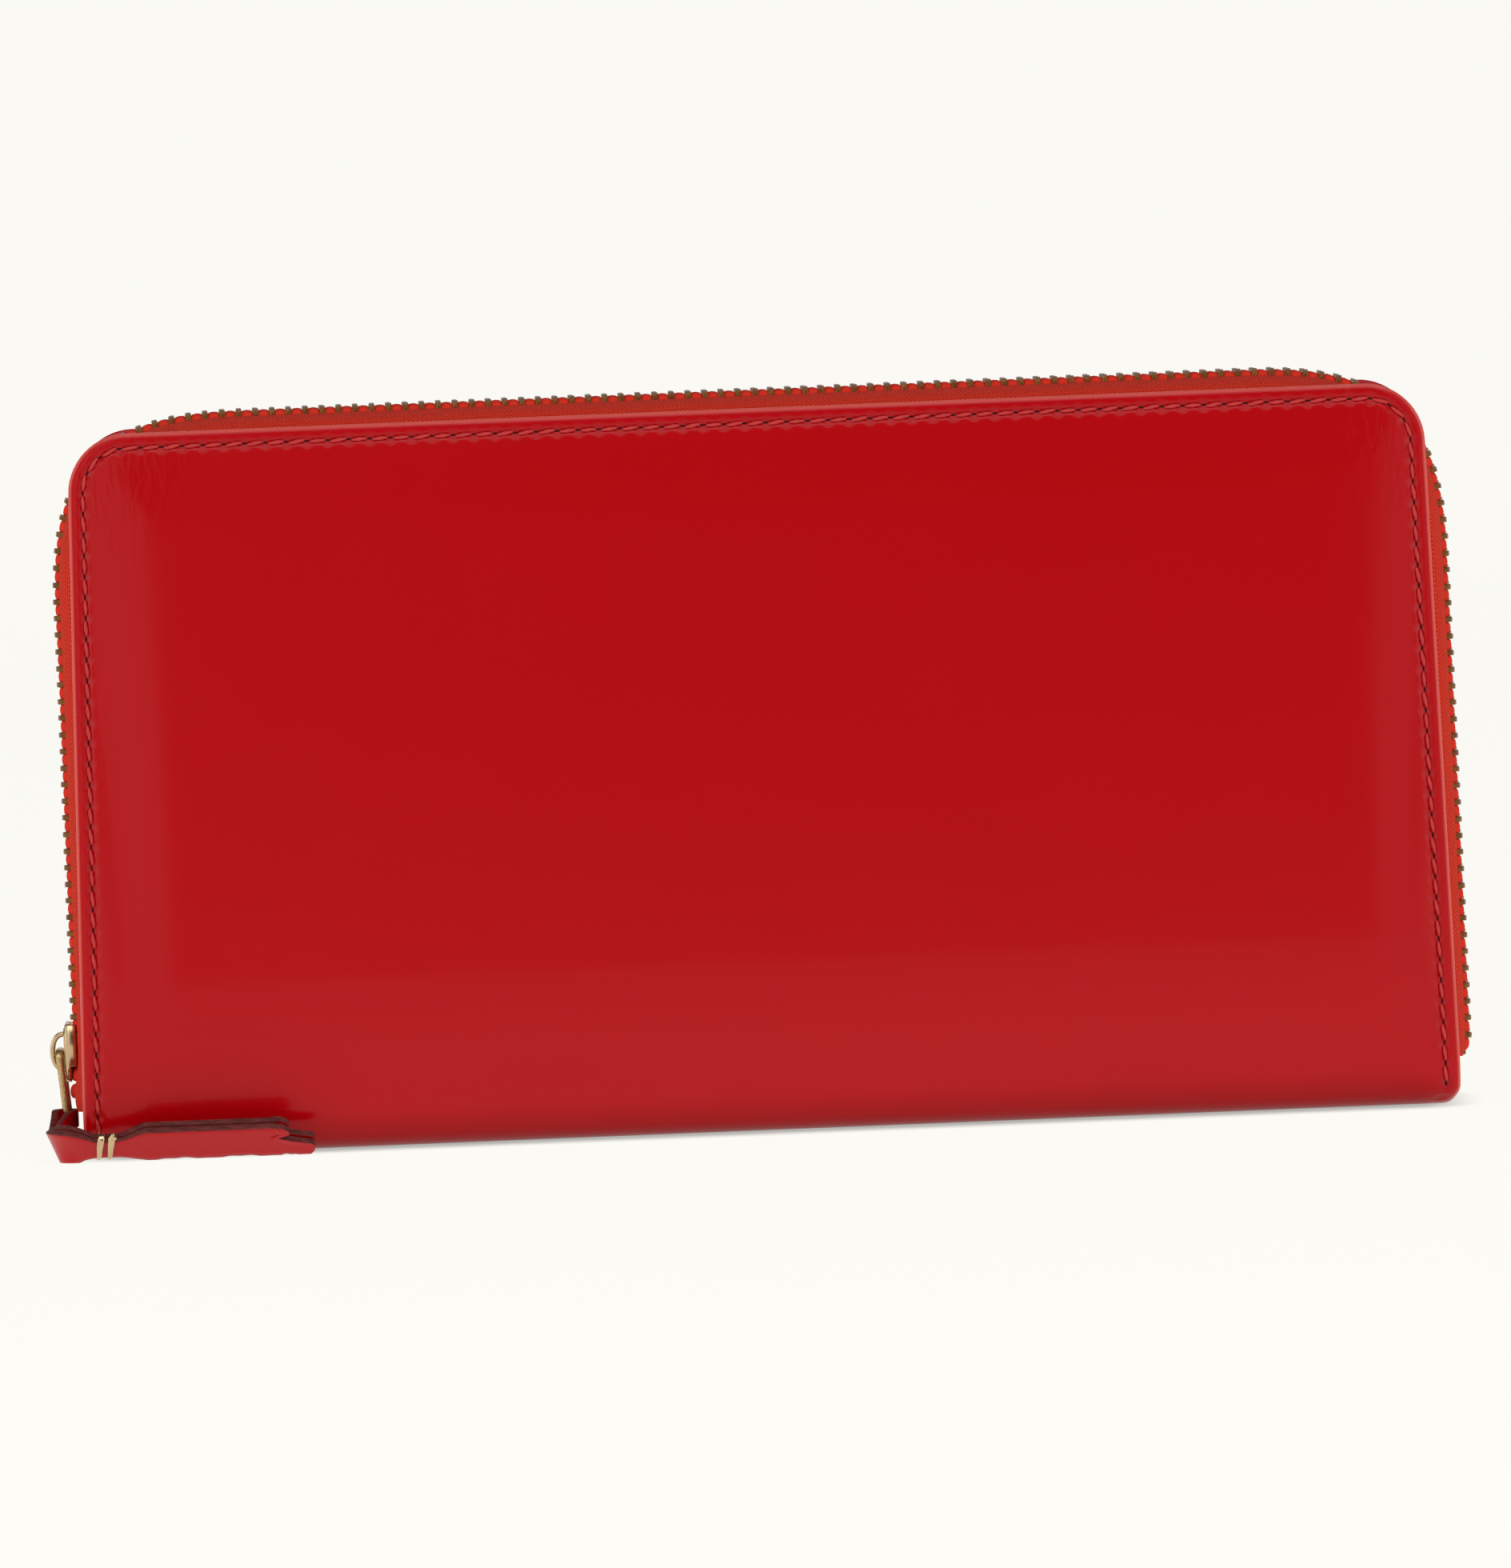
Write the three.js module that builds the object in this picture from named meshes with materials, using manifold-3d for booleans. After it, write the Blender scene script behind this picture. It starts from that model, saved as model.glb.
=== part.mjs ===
// A long zip-around wallet in polished red leather, standing upright on its spine.
// Millimetres. X runs along the spine, Y from the front cover to the back cover, Z up.
// The origin is the middle of the spine's underside.
import * as THREE from "three";
import { mergeVertices } from "three/addons/utils/BufferGeometryUtils.js";
import Module from "manifold-3d";

const wasm = await Module();
wasm.setup();

// ---------- driving dimensions ----------

// Covers and spine
const coverWidth = 186.5;
const coverHeight = 99;
const walletDepth = 24;
const coverCorner = 8; // radius of each cover's two upper corners
const leather = 1.3;
const board = 0.5;
const lining = 0.5;
const glueLine = 0.1; // room kept between pieces that are glued or sewn flat together
const spineBend = 6; // outer radius of the spine's two long edges
const hingeGap = 0.3; // slot between a cover's foot and the spine
const boardInset = 6; // from the leather's edge to the board's edge
const boardCorner = 12;
const liningInset = 2;
const liningCorner = 17; // wide enough to clear the zip tape as it rounds the corner
const interiorFoot = 8; // height of the lower edge of what is fixed to a cover's inside
const arcSteps = 6; // straight facets in a quarter turn

// Card slots on the front cover's inside, a slip pocket on the back cover's
const tierCount = 4;
const tierThickness = 0.5;
const tierPitch = 12; // step between the mouths of two tiers
const tierDepth = 48; // from a tier's mouth to its lower edge
const tierTopGap = 11; // from the cover's top to the first tier's mouth
const tierSideInset = 5;
const tierCorner = 2;
const slipTopGap = 19; // from the cover's top to the slip pocket's mouth

// Coin pocket in the middle
const coinGap = 4.2; // clear space between its walls
const coinWall = 0.7;
const coinSideInset = 12; // from the cover's side to the pocket's side
const coinFoot = 4;
const coinTopGap = 18; // from the cover's top to the top of the pocket's walls
const coinGusset = 0.6;

// Pleated gussets at both ends of the two bill compartments
const gussetThickness = 0.4;
const gussetLength = 17; // from the outer edges to the inner fold
const gussetInset = 7; // from the cover's side to the gusset's outer edges
const gussetTopGap = 19;
const gussetFoot = 6;

// Main zip, on a line that runs up the left side, over the top and down the right side
const chainProud = 1.25; // how far the chain's line lies outside the leather's edge
const cornerReach = 24.6; // length of each leg that a corner of the chain takes up
const cornerPull = 18.1; // length of that corner's curve handles
const chainFoot = 6.4; // height of the chain's two ends
const endTuck = 0.4; // how far those ends turn in
const endRise = 3.6; // height over which they turn in
const toothPitch = 2.28;
const toothLength = 1.1;
const toothWidth = 2; // one row's width, across the chain
const rowSplit = 0.5; // from the middle plane to each row
const toothOut = 1; // how far a tooth stands out of the tape's plane
const cordOut = 0.35;
const rowBack = 0.7; // how far a row reaches behind the tape's plane
const tape = 0.5;
const tapeReach = 5.5; // how far the tape runs in under the leather, from the chain's line
const tapeArch = 2.2; // drop of the tape between the chain and the leather
const tapeSteps = 96;
const stopLength = 1.5;
const topStopDepths = [-0.2, 0.4]; // behind and before the tape's plane: it passes the slider's side slots
const backRowLift = 3.2; // how much later the back row starts, so that the open slider passes it

// Slider, its bridge and the ring that hangs from it
const sliderLength = 8.1;
const sliderFoot = 10.2; // height of the closed slider's lower end
const sliderPlate = 0.8;
const flangeWidth = 0.8;
const sliderPlay = 0.3; // clearance between the slider and the chain
const tapeSlot = 1;
const webThickness = 0.5;
const webLength = 2.5;
const bridgeWidth = 1.8;
const bridgeLength = 5.6;
const bridgeStrap = 0.7;
const ringBar = 1; // thickness of the ring's bars, and depth of its two cross bars
const ringLeg = 1.1;
const ringWidth = 7;
const ringLength = 12;
const ringPlay = 0.35;

// Leather pull and the wire wound round it
const pullLayer = 1.2; // one layer of the doubled strap
const pullWidth = 6.5;
const pullEye = 0.9; // radius of the hole round the ring's leg
const pullEyeWall = 0.9; // the leather is pared thin where it goes round the leg
const pullNeck = 2.4; // width of the strap where it goes through the ring
const pullBend = 3.7; // radius of the turn round the wallet's front edge, at the strap's middle
const pullStandOff = 1.6; // from the front cover to the strap
const pullTail = 31; // from the end of that turn to the strap's end
const notchDepth = 3; // of the cut in the strap's end
const waistThickness = 1.8; // of the strap where the wire pinches it
const waistInset = 0.8; // from the strap's two edges to that waist's
const wire = 0.6;
const wireWidth = 1.2;
const wireTurns = 2;
const wirePitch = 1.9; // between two turns
const wirePlace = 1.4; // from the end of the strap's bend to the first turn
const wirePlay = 0.15;

// Coin pocket's own zip
const coinRowSplit = 0.4;
const coinRowWidth = 1.6;
const coinTapeDepth = 10; // how far its tape runs down inside the wall
const coinTapeRise = 3.2; // how far the tape stands above the wall
const coinTape = 0.4;
const coinChainInset = 5; // from the pocket's side to the chain's end
const coinSliderLength = 7;
const coinPullLength = 9.5;
const coinPullWidth = 3.6;
const coinPullPlate = 0.8;

// ---------- levels worked out from them ----------

const FRONT = -1;
const BACK = 1;
const halfWidth = coverWidth / 2;
const halfDepth = walletDepth / 2;
const leatherInside = halfDepth - leather;
const boardInside = leatherInside - glueLine - board;
const liningInside = boardInside - glueLine - lining;
const tiersInside = liningInside - tierCount * (tierThickness + glueLine);
const slipInside = liningInside - glueLine - tierThickness;
const coinInside = coinGap / 2;
const coinOutside = coinInside + coinWall;
const coinHalf = halfWidth - coinSideInset;
const coinTop = coverHeight - coinTopGap;
const hingeHeight = spineBend;
const chainX = halfWidth + chainProud;
const chainTop = coverHeight + chainProud;
const rowOutside = rowSplit + toothWidth;
const tapeEdge = rowOutside + glueLine;
const sliderHalf = rowOutside + sliderPlay + flangeWidth;
const sliderTop = sliderFoot + sliderLength;
const plateOut = toothOut + 0.3; // underside of the slider's outer plate
const plateFace = plateOut + sliderPlate;
const ringOut = plateFace + ringPlay + ringBar / 2; // middle of the ring's thickness
const ringPivotHeight = sliderFoot + sliderLength / 2;

// ---------- materials ----------

const finish = (color, roughness, metalness = 0) =>
  new THREE.MeshStandardMaterial({ color, roughness, metalness });
const redLeather = finish(0xb1000b, 0.35);
const innerLeather = finish(0xa80d16, 0.5);
const liningCloth = finish(0x7d0f18, 0.85);
const greyBoard = finish(0x8d8677, 0.9);
const redTape = finish(0xcf2a20, 0.85);
const agedBrass = finish(0x6f5436, 0.4, 1);
const brightBrass = finish(0xc8ae75, 0.25, 1);

// ---------- helpers ----------

const wallet = new THREE.Group();
wallet.name = "zip_around_wallet";

function add(name, geometry, material) {
  const mesh = new THREE.Mesh(geometry, material);
  mesh.name = name;
  wallet.add(mesh);
}

// A mesh as a manifold-3d solid.
function solid(geometry) {
  const bare = geometry.index ? geometry.toNonIndexed() : geometry.clone();
  bare.deleteAttribute("normal");
  bare.deleteAttribute("uv");
  const merged = mergeVertices(bare, 1e-4);
  return new wasm.Manifold(
    new wasm.Mesh({
      numProp: 3,
      vertProperties: merged.attributes.position.array,
      triVerts: new Uint32Array(merged.index.array),
    }),
  );
}

// Several overlapping geometries as one.
function joined(...geometries) {
  const mesh = geometries.map(solid).reduce((a, b) => a.add(b)).getMesh();
  const geometry = new THREE.BufferGeometry();
  geometry.setAttribute(
    "position",
    new THREE.BufferAttribute(new Float32Array(mesh.vertProperties), 3),
  );
  geometry.setIndex(new THREE.BufferAttribute(new Uint32Array(mesh.triVerts), 1));
  geometry.computeVertexNormals();
  return geometry;
}

// A block between two values of each coordinate.
function block([x0, x1], [y0, y1], [z0, z1]) {
  const box = new THREE.BoxGeometry(x1 - x0, y1 - y0, z1 - z0);
  return box.translate((x0 + x1) / 2, (y0 + y1) / 2, (z0 + z1) / 2);
}

// The Y range between two distances from the middle plane, on one side of it.
function depths(side, inner, outer) {
  return side === FRONT ? [-outer, -inner] : [inner, outer];
}

// An outline in X and Z, given a thickness from y0 to y1.
function standing(shape, [y0, y1]) {
  const plate = new THREE.ExtrudeGeometry(shape, {
    depth: y1 - y0,
    bevelEnabled: false,
    curveSegments: arcSteps,
  });
  return plate.rotateX(Math.PI / 2).translate(0, y1, 0);
}

// An outline in X and Y, given a height from z0 to z1.
function lying(shape, [z0, z1]) {
  const plate = new THREE.ExtrudeGeometry(shape, {
    depth: z1 - z0,
    bevelEnabled: false,
    curveSegments: arcSteps,
  });
  return plate.translate(0, 0, z0);
}

// A panel with square feet and two rounded upper corners.
function panelShape(half, foot, top, radius) {
  const shape = new THREE.Shape();
  shape.moveTo(-half, foot);
  shape.lineTo(half, foot);
  shape.lineTo(half, top - radius);
  shape.absarc(half - radius, top - radius, radius, 0, Math.PI / 2);
  shape.lineTo(radius - half, top);
  shape.absarc(radius - half, top - radius, radius, Math.PI / 2, Math.PI);
  shape.closePath();
  return shape;
}

function rectangleOn(path, [x0, x1], [y0, y1]) {
  path.moveTo(x0, y0);
  path.lineTo(x1, y0);
  path.lineTo(x1, y1);
  path.lineTo(x0, y1);
  path.closePath();
  return path;
}

// The outline of a strip of even thickness that follows a line of 2-D points.
function ribbon(points, thickness) {
  const last = points.length - 1;
  const step = (i) => points[i + 1].clone().sub(points[i]).normalize();
  const sides = points.map((_, i) => {
    const into = step(Math.max(i - 1, 0));
    const out = step(Math.min(i, last - 1));
    const along = into.clone().add(out).normalize();
    const normal = new THREE.Vector2(-along.y, along.x);
    return normal.multiplyScalar(thickness / 2 / along.dot(out));
  });
  const left = points.map((p, i) => p.clone().add(sides[i]));
  const right = points.map((p, i) => p.clone().sub(sides[i]));
  return new THREE.Shape([...left, ...right.reverse()]);
}

// ---------- covers and spine ----------

function cover(side) {
  const shape = panelShape(
    halfWidth,
    hingeHeight + hingeGap / 2,
    coverHeight,
    coverCorner,
  );
  return standing(shape, depths(side, leatherInside, halfDepth));
}

function stiffener(side) {
  const shape = panelShape(
    halfWidth - boardInset,
    interiorFoot,
    coverHeight - boardInset,
    boardCorner,
  );
  return standing(shape, depths(side, boardInside, boardInside + board));
}

function liningPanel(side) {
  const shape = panelShape(
    halfWidth - liningInset,
    interiorFoot,
    coverHeight - liningInset,
    liningCorner,
  );
  return standing(shape, depths(side, liningInside, liningInside + lining));
}

// The hide where it turns under the wallet: a channel with two rounded long edges.
function spine() {
  const top = hingeHeight - hingeGap / 2;
  const shape = new THREE.Shape();
  const middle = halfDepth - spineBend;
  shape.moveTo(-halfDepth, top);
  shape.absarc(-middle, spineBend, spineBend, Math.PI, Math.PI * 1.5);
  shape.absarc(middle, spineBend, spineBend, Math.PI * 1.5, Math.PI * 2);
  shape.lineTo(halfDepth, top);
  shape.lineTo(leatherInside, top);
  shape.absarc(middle, spineBend, spineBend - leather, 0, -Math.PI / 2, true);
  shape.absarc(-middle, spineBend, spineBend - leather, -Math.PI / 2, -Math.PI, true);
  shape.lineTo(-leatherInside, top);
  shape.closePath();
  return alongX(trimmed(shape, top), [-halfWidth, halfWidth]);
}

// The points of an outline, none above a level.
function trimmed(shape, top) {
  const kept = shape.getPoints(arcSteps).filter((p) => p.y <= top + 1e-6);
  return new THREE.Shape(kept);
}

// An outline in Y and Z, given a length from x0 to x1.
function alongX(shape, [x0, x1]) {
  const bar = new THREE.ExtrudeGeometry(shape, {
    depth: x1 - x0,
    bevelEnabled: false,
    curveSegments: arcSteps,
  });
  const turn = new THREE.Matrix4().makeBasis(
    new THREE.Vector3(0, 1, 0),
    new THREE.Vector3(0, 0, 1),
    new THREE.Vector3(1, 0, 0),
  );
  return bar.applyMatrix4(turn).translate(x0, 0, 0);
}

function spineLining() {
  const half = halfDepth - spineBend + 0.5;
  const floor = leather + glueLine;
  return block(
    [liningInset - halfWidth, halfWidth - liningInset],
    [-half, half],
    [floor, floor + lining],
  );
}

add("front_cover", cover(FRONT), redLeather);
add("back_cover", cover(BACK), redLeather);
add("spine", spine(), redLeather);
add("front_stiffener", stiffener(FRONT), greyBoard);
add("back_stiffener", stiffener(BACK), greyBoard);
add("front_lining", liningPanel(FRONT), liningCloth);
add("back_lining", liningPanel(BACK), liningCloth);
add("spine_lining", spineLining(), liningCloth);

// ---------- card slots and slip pocket ----------

// Tiers are counted from the top one, which lies flat on the lining.
function cardTier(index) {
  const mouth = coverHeight - tierTopGap - index * tierPitch;
  const foot = Math.max(mouth - tierDepth, interiorFoot);
  const outer = liningInside - glueLine - index * (tierThickness + glueLine);
  const shape = panelShape(halfWidth - tierSideInset, foot, mouth, tierCorner);
  return standing(shape, depths(FRONT, outer - tierThickness, outer));
}

function slipPocket() {
  const shape = panelShape(
    halfWidth - tierSideInset,
    interiorFoot,
    coverHeight - slipTopGap,
    tierCorner,
  );
  return standing(shape, depths(BACK, slipInside, slipInside + tierThickness));
}

for (let i = 0; i < tierCount; i++)
  add(`card_tier_${i + 1}`, cardTier(i), innerLeather);
add("slip_pocket", slipPocket(), innerLeather);

// ---------- coin pocket ----------

function coinPocketWall(side) {
  const shape = panelShape(coinHalf, coinFoot, coinTop, tierCorner);
  return standing(shape, depths(side, coinInside, coinOutside));
}

// The strip that joins the two walls along both sides and the bottom.
function coinPocketGusset() {
  const half = coinHalf - glueLine;
  const foot = coinFoot + glueLine;
  const shape = new THREE.Shape();
  shape.moveTo(-half, foot);
  shape.lineTo(half, foot);
  shape.lineTo(half, coinTop - tierCorner);
  shape.lineTo(half - coinGusset, coinTop - tierCorner);
  shape.lineTo(half - coinGusset, foot + coinGusset);
  shape.lineTo(coinGusset - half, foot + coinGusset);
  shape.lineTo(coinGusset - half, coinTop - tierCorner);
  shape.lineTo(-half, coinTop - tierCorner);
  shape.closePath();
  return standing(shape, [glueLine - coinInside, coinInside - glueLine]);
}

add("coin_pocket_front_wall", coinPocketWall(FRONT), innerLeather);
add("coin_pocket_back_wall", coinPocketWall(BACK), innerLeather);
add("coin_pocket_gusset", coinPocketGusset(), innerLeather);

// ---------- bill compartment gussets ----------

// One pleat: two legs that meet in a fold which points into the compartment.
function billGusset(side, end) {
  const panel = side === FRONT ? tiersInside : slipInside;
  const room = glueLine + gussetThickness / 2;
  const near = coinOutside + room;
  const far = panel - room;
  const outer = halfWidth - gussetInset;
  const points = [
    new THREE.Vector2(end * outer, side * near),
    new THREE.Vector2(end * (outer - gussetLength), (side * (near + far)) / 2),
    new THREE.Vector2(end * outer, side * far),
  ];
  return lying(pleat(points), [gussetFoot, coverHeight - gussetTopGap]);
}

// The pleat's outline: its legs keep their thickness and its fold is cut square.
function pleat([a, fold, b]) {
  const half = gussetThickness / 2;
  const inward = Math.sign(fold.x - a.x);
  const turn = Math.sign(b.y - a.y);
  return new THREE.Shape([
    new THREE.Vector2(a.x, a.y - turn * half),
    new THREE.Vector2(fold.x + inward * half, fold.y - turn * half),
    new THREE.Vector2(fold.x + inward * half, fold.y + turn * half),
    new THREE.Vector2(b.x, b.y + turn * half),
    new THREE.Vector2(b.x, b.y - turn * half),
    new THREE.Vector2(fold.x - 2 * inward * gussetThickness, fold.y),
    new THREE.Vector2(a.x, a.y + turn * half),
  ]);
}

for (const [word, side] of [["front", FRONT], ["back", BACK]]) {
  add(`${word}_left_bill_gusset`, billGusset(side, -1), liningCloth);
  add(`${word}_right_bill_gusset`, billGusset(side, 1), liningCloth);
}

// ---------- main zip ----------

const at = (x, z) => new THREE.Vector3(x, 0, z);

// The line of the chain, from the left foot over the top to the right foot.
function chainLine() {
  const line = new THREE.CurvePath();
  const straight = chainFoot + endRise;
  const bend = chainTop - cornerReach;
  const curve = (...points) => line.add(new THREE.CubicBezierCurve3(...points));
  line.add(
    new THREE.QuadraticBezierCurve3(
      at(endTuck - chainX, chainFoot),
      at(-chainX, chainFoot + endRise / 2),
      at(-chainX, straight),
    ),
  );
  line.add(new THREE.LineCurve3(at(-chainX, straight), at(-chainX, bend)));
  curve(
    at(-chainX, bend),
    at(-chainX, bend + cornerPull),
    at(cornerReach - cornerPull - chainX, chainTop),
    at(cornerReach - chainX, chainTop),
  );
  line.add(
    new THREE.LineCurve3(
      at(cornerReach - chainX, chainTop),
      at(chainX - cornerReach, chainTop),
    ),
  );
  curve(
    at(chainX - cornerReach, chainTop),
    at(chainX - cornerReach + cornerPull, chainTop),
    at(chainX, bend + cornerPull),
    at(chainX, bend),
  );
  line.add(new THREE.LineCurve3(at(chainX, bend), at(chainX, straight)));
  line.add(
    new THREE.QuadraticBezierCurve3(
      at(chainX, straight),
      at(chainX, chainFoot + endRise / 2),
      at(chainX - endTuck, chainFoot),
    ),
  );
  return line;
}

const chain = chainLine();
const chainLength = chain.getLength();

// A point at a distance along the chain, and a distance out of the tape's plane.
function onChain(distance, out) {
  const share = Math.min(Math.max(distance / chainLength, 0), 1);
  const point = chain.getPointAt(share);
  const along = chain.getTangentAt(share);
  return new THREE.Vector2(point.x - along.z * out, point.z + along.x * out);
}

// One side of the tape: flat beside the teeth, arched to the cover, then flat under the leather.
function zipTape(side) {
  const flat = sliderHalf + 0.2;
  const tongue = leatherInside - glueLine - tape / 2;
  const middle = [new THREE.Vector2(tapeEdge, 0)];
  for (let i = 0; i <= 3; i++) {
    const turn = (Math.PI / 2) * (1 - i / 3);
    middle.push(
      new THREE.Vector2(
        flat + (tongue - flat) * Math.cos(turn),
        -tapeArch * (1 - Math.sin(turn)),
      ),
    );
  }
  middle.push(new THREE.Vector2(tongue, -tapeReach));
  const across = middle.map((p) => new THREE.Vector2(-side * p.x, -p.y));
  return new THREE.ExtrudeGeometry(ribbon(across, tape), {
    extrudePath: chain,
    steps: tapeSteps,
    bevelEnabled: false,
  });
}

// One row of teeth on its cord, from a distance along the chain to another.
// The two rows are half a pitch apart, so that their teeth alternate.
function toothRow(side, from, to) {
  const shift = side === FRONT ? 0 : toothPitch / 2;
  const count = Math.floor((to - from - shift - toothLength) / toothPitch);
  const top = [];
  const back = [];
  for (let i = 0; i <= count; i++) {
    const start = from + shift + i * toothPitch;
    const end = start + toothLength;
    top.push(onChain(start, cordOut), onChain(start, toothOut));
    top.push(onChain(end, toothOut), onChain(end, cordOut));
    if (i % 2 === 0 || i === count) back.push(onChain(start, -rowBack));
    if (i === count) back.push(onChain(end, -rowBack));
  }
  const shape = new THREE.Shape([...top, ...back.reverse()]);
  return standing(shape, depths(side, rowSplit, rowOutside));
}

// A small block pinched on the tape's edge.
function stop(distance, [y0, y1], [back, out]) {
  const corners = [
    onChain(distance, back),
    onChain(distance, out),
    onChain(distance + stopLength, out),
    onChain(distance + stopLength, back),
  ];
  return standing(new THREE.Shape(corners), [y0, y1]);
}

// The end of both tapes, turned down and sewn to the spine under the bottom stop.
function zipEndTab() {
  const x = chainX - endTuck;
  const top = chainFoot - 0.3;
  return block([x - tape, x], [-rowOutside, rowOutside], [leather + 0.02, top]);
}

const rowStart = sliderTop + 0.3 - chainFoot; // the rows begin just above the closed slider
const rowEnd = chainLength - stopLength - 1;
add("front_zip_tape", zipTape(FRONT), redTape);
add("back_zip_tape", zipTape(BACK), redTape);
add("front_zip_teeth", toothRow(FRONT, rowStart, rowEnd), agedBrass);
add("back_zip_teeth", toothRow(BACK, rowStart + backRowLift, rowEnd), agedBrass);
for (const [name, side] of [["front_top_stop", FRONT], ["back_top_stop", BACK]]) {
  add(name, stop(1, depths(side, rowSplit, rowOutside), topStopDepths), agedBrass);
}
add(
  "zip_bottom_stop",
  stop(chainLength - stopLength - 0.1, [-rowOutside, rowOutside], [-rowBack, toothOut]),
  agedBrass,
);
add("zip_end_tab", zipEndTab(), redTape);

// ---------- slider ----------

// A distance out of the left side's chain as a value of X.
const outOnLeft = (out) => -chainX - out;

function sliderBody() {
  const height = [sliderFoot, sliderTop];
  const full = [-sliderHalf, sliderHalf];
  const channel = rowBack + 0.4; // inner plate's face
  const outerPlate = block([outOnLeft(plateFace), outOnLeft(plateOut)], full, height);
  const innerPlate = block(
    [outOnLeft(-channel), outOnLeft(-channel - sliderPlate)],
    full,
    height,
  );
  const pieces = [outerPlate, innerPlate];
  for (const side of [FRONT, BACK]) {
    const flange = depths(side, sliderHalf - flangeWidth, sliderHalf);
    pieces.push(block([outOnLeft(plateOut + 0.1), outOnLeft(tapeSlot / 2)], flange, height));
    pieces.push(block([outOnLeft(-tapeSlot / 2), outOnLeft(-channel - 0.1)], flange, height));
  }
  pieces.push(
    block(
      [outOnLeft(plateOut + 0.1), outOnLeft(-channel - 0.1)],
      [-webThickness / 2, webThickness / 2],
      [sliderFoot, sliderFoot + webLength],
    ),
  );
  return joined(...pieces);
}

// The arch over the outer plate that the ring hangs in.
function archShape(length, inside, strap) {
  const shape = new THREE.Shape();
  const half = length / 2;
  const round = inside * 0.6;
  shape.moveTo(-half, 0);
  shape.lineTo(-half, inside + strap - round);
  shape.quadraticCurveTo(-half, inside + strap, round - half, inside + strap);
  shape.lineTo(half - round, inside + strap);
  shape.quadraticCurveTo(half, inside + strap, half, inside + strap - round);
  shape.lineTo(half, 0);
  shape.lineTo(half - strap, 0);
  shape.lineTo(half - strap, inside);
  shape.lineTo(strap - half, inside);
  shape.lineTo(strap - half, 0);
  shape.closePath();
  return shape;
}

function sliderBridge() {
  const inside = 2 * ringPlay + ringBar + 0.2;
  const shape = archShape(bridgeLength, inside, bridgeStrap);
  const arch = new THREE.ExtrudeGeometry(shape, {
    depth: bridgeWidth,
    bevelEnabled: false,
    curveSegments: 3,
  });
  const turn = new THREE.Matrix4().makeBasis(
    new THREE.Vector3(0, 0, 1),
    new THREE.Vector3(-1, 0, 0),
    new THREE.Vector3(0, -1, 0),
  );
  arch.applyMatrix4(turn);
  return arch.translate(outOnLeft(plateFace + 0.02), bridgeWidth / 2, ringPivotHeight);
}

// A flat ring: two legs, a bar in the bridge and a bar that the leather goes over.
function pullRing() {
  const top = ringPivotHeight + ringBar / 2;
  const shape = new THREE.Shape();
  const half = ringWidth / 2;
  const foot = top - ringLength;
  rectangleOn(shape, [-half, half], [foot, top]);
  const window = rectangleOn(
    new THREE.Path(),
    [ringLeg - half, half - ringLeg],
    [foot + ringBar, top - ringBar],
  );
  shape.holes.push(window);
  const x = outOnLeft(ringOut);
  return alongX(shape, [x - ringBar / 2, x + ringBar / 2]);
}

add("slider_body", sliderBody(), brightBrass);
add("slider_bridge", sliderBridge(), brightBrass);
add("pull_ring", pullRing(), brightBrass);

// ---------- leather pull ----------

const pullThickness = 2 * pullLayer;
const pullX = outOnLeft(ringOut);
const eyeY = (ringLeg - ringWidth) / 2; // the ring's front leg
const pullY = -halfDepth - pullStandOff - pullThickness / 2;
const turnEndX = pullX + pullBend;
const ringWindowFoot = ringPivotHeight + 1.5 * ringBar - ringLength;
const waistStart = turnEndX + wirePlace - 0.3;
const waistEnd = waistStart + 0.6 + wireWidth + (wireTurns - 1) * wirePitch;
const waistFoot = waistInset + 0.2;
const waistTop = pullWidth - waistInset;

// The Y range of a layer of the strap's straight part, by its thickness.
const onStrap = (thickness) => [pullY - thickness / 2, pullY + thickness / 2];

// The doubled strap: forward from the ring, round the wallet's front edge and along the front.
function pullTab() {
  const eyeOutside = pullEye + pullEyeWall;
  const neckHeight = [ringWindowFoot + ringPlay, ringWindowFoot + ringPlay + pullNeck];
  const eye = new THREE.Shape();
  eye.absarc(pullX, eyeY, eyeOutside, 0, Math.PI * 2);
  const hole = new THREE.Path();
  hole.absarc(pullX, eyeY, pullEye, 0, Math.PI * 2, true);
  eye.holes.push(hole);
  const strapStart = eyeY - eyeOutside - 0.6;
  const neck = block(
    [pullX - pullLayer, pullX + pullLayer],
    [strapStart - 1, eyeY - pullEye - 0.4],
    neckHeight,
  );
  const line = [new THREE.Vector2(pullX, strapStart)];
  for (let i = 0; i <= arcSteps; i++) {
    const turn = Math.PI + ((Math.PI / 2) * i) / arcSteps;
    line.push(
      new THREE.Vector2(
        turnEndX + pullBend * Math.cos(turn),
        pullY + pullBend + pullBend * Math.sin(turn),
      ),
    );
  }
  line.push(new THREE.Vector2(waistStart, pullY));
  return joined(
    lying(eye, neckHeight),
    neck,
    lying(ribbon(line, pullThickness), [0, pullWidth]),
    block(
      [waistStart - 0.5, waistEnd + 0.5],
      onStrap(waistThickness),
      [waistFoot, waistTop],
    ),
    standing(tailShape(), onStrap(pullThickness)),
  );
}

// The strap's tail, cut to a notch with a longer lower lobe.
function tailShape() {
  const end = turnEndX + pullTail;
  const middle = pullWidth / 2;
  const shape = new THREE.Shape();
  shape.moveTo(waistEnd, 0);
  shape.lineTo(end, 0);
  shape.lineTo(end, middle * 0.6);
  shape.lineTo(end - notchDepth, middle);
  shape.lineTo(end - notchDepth * 0.8, middle * 1.5);
  shape.lineTo(end - notchDepth * 0.9, pullWidth);
  shape.lineTo(waistEnd, pullWidth);
  shape.closePath();
  return shape;
}

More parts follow.
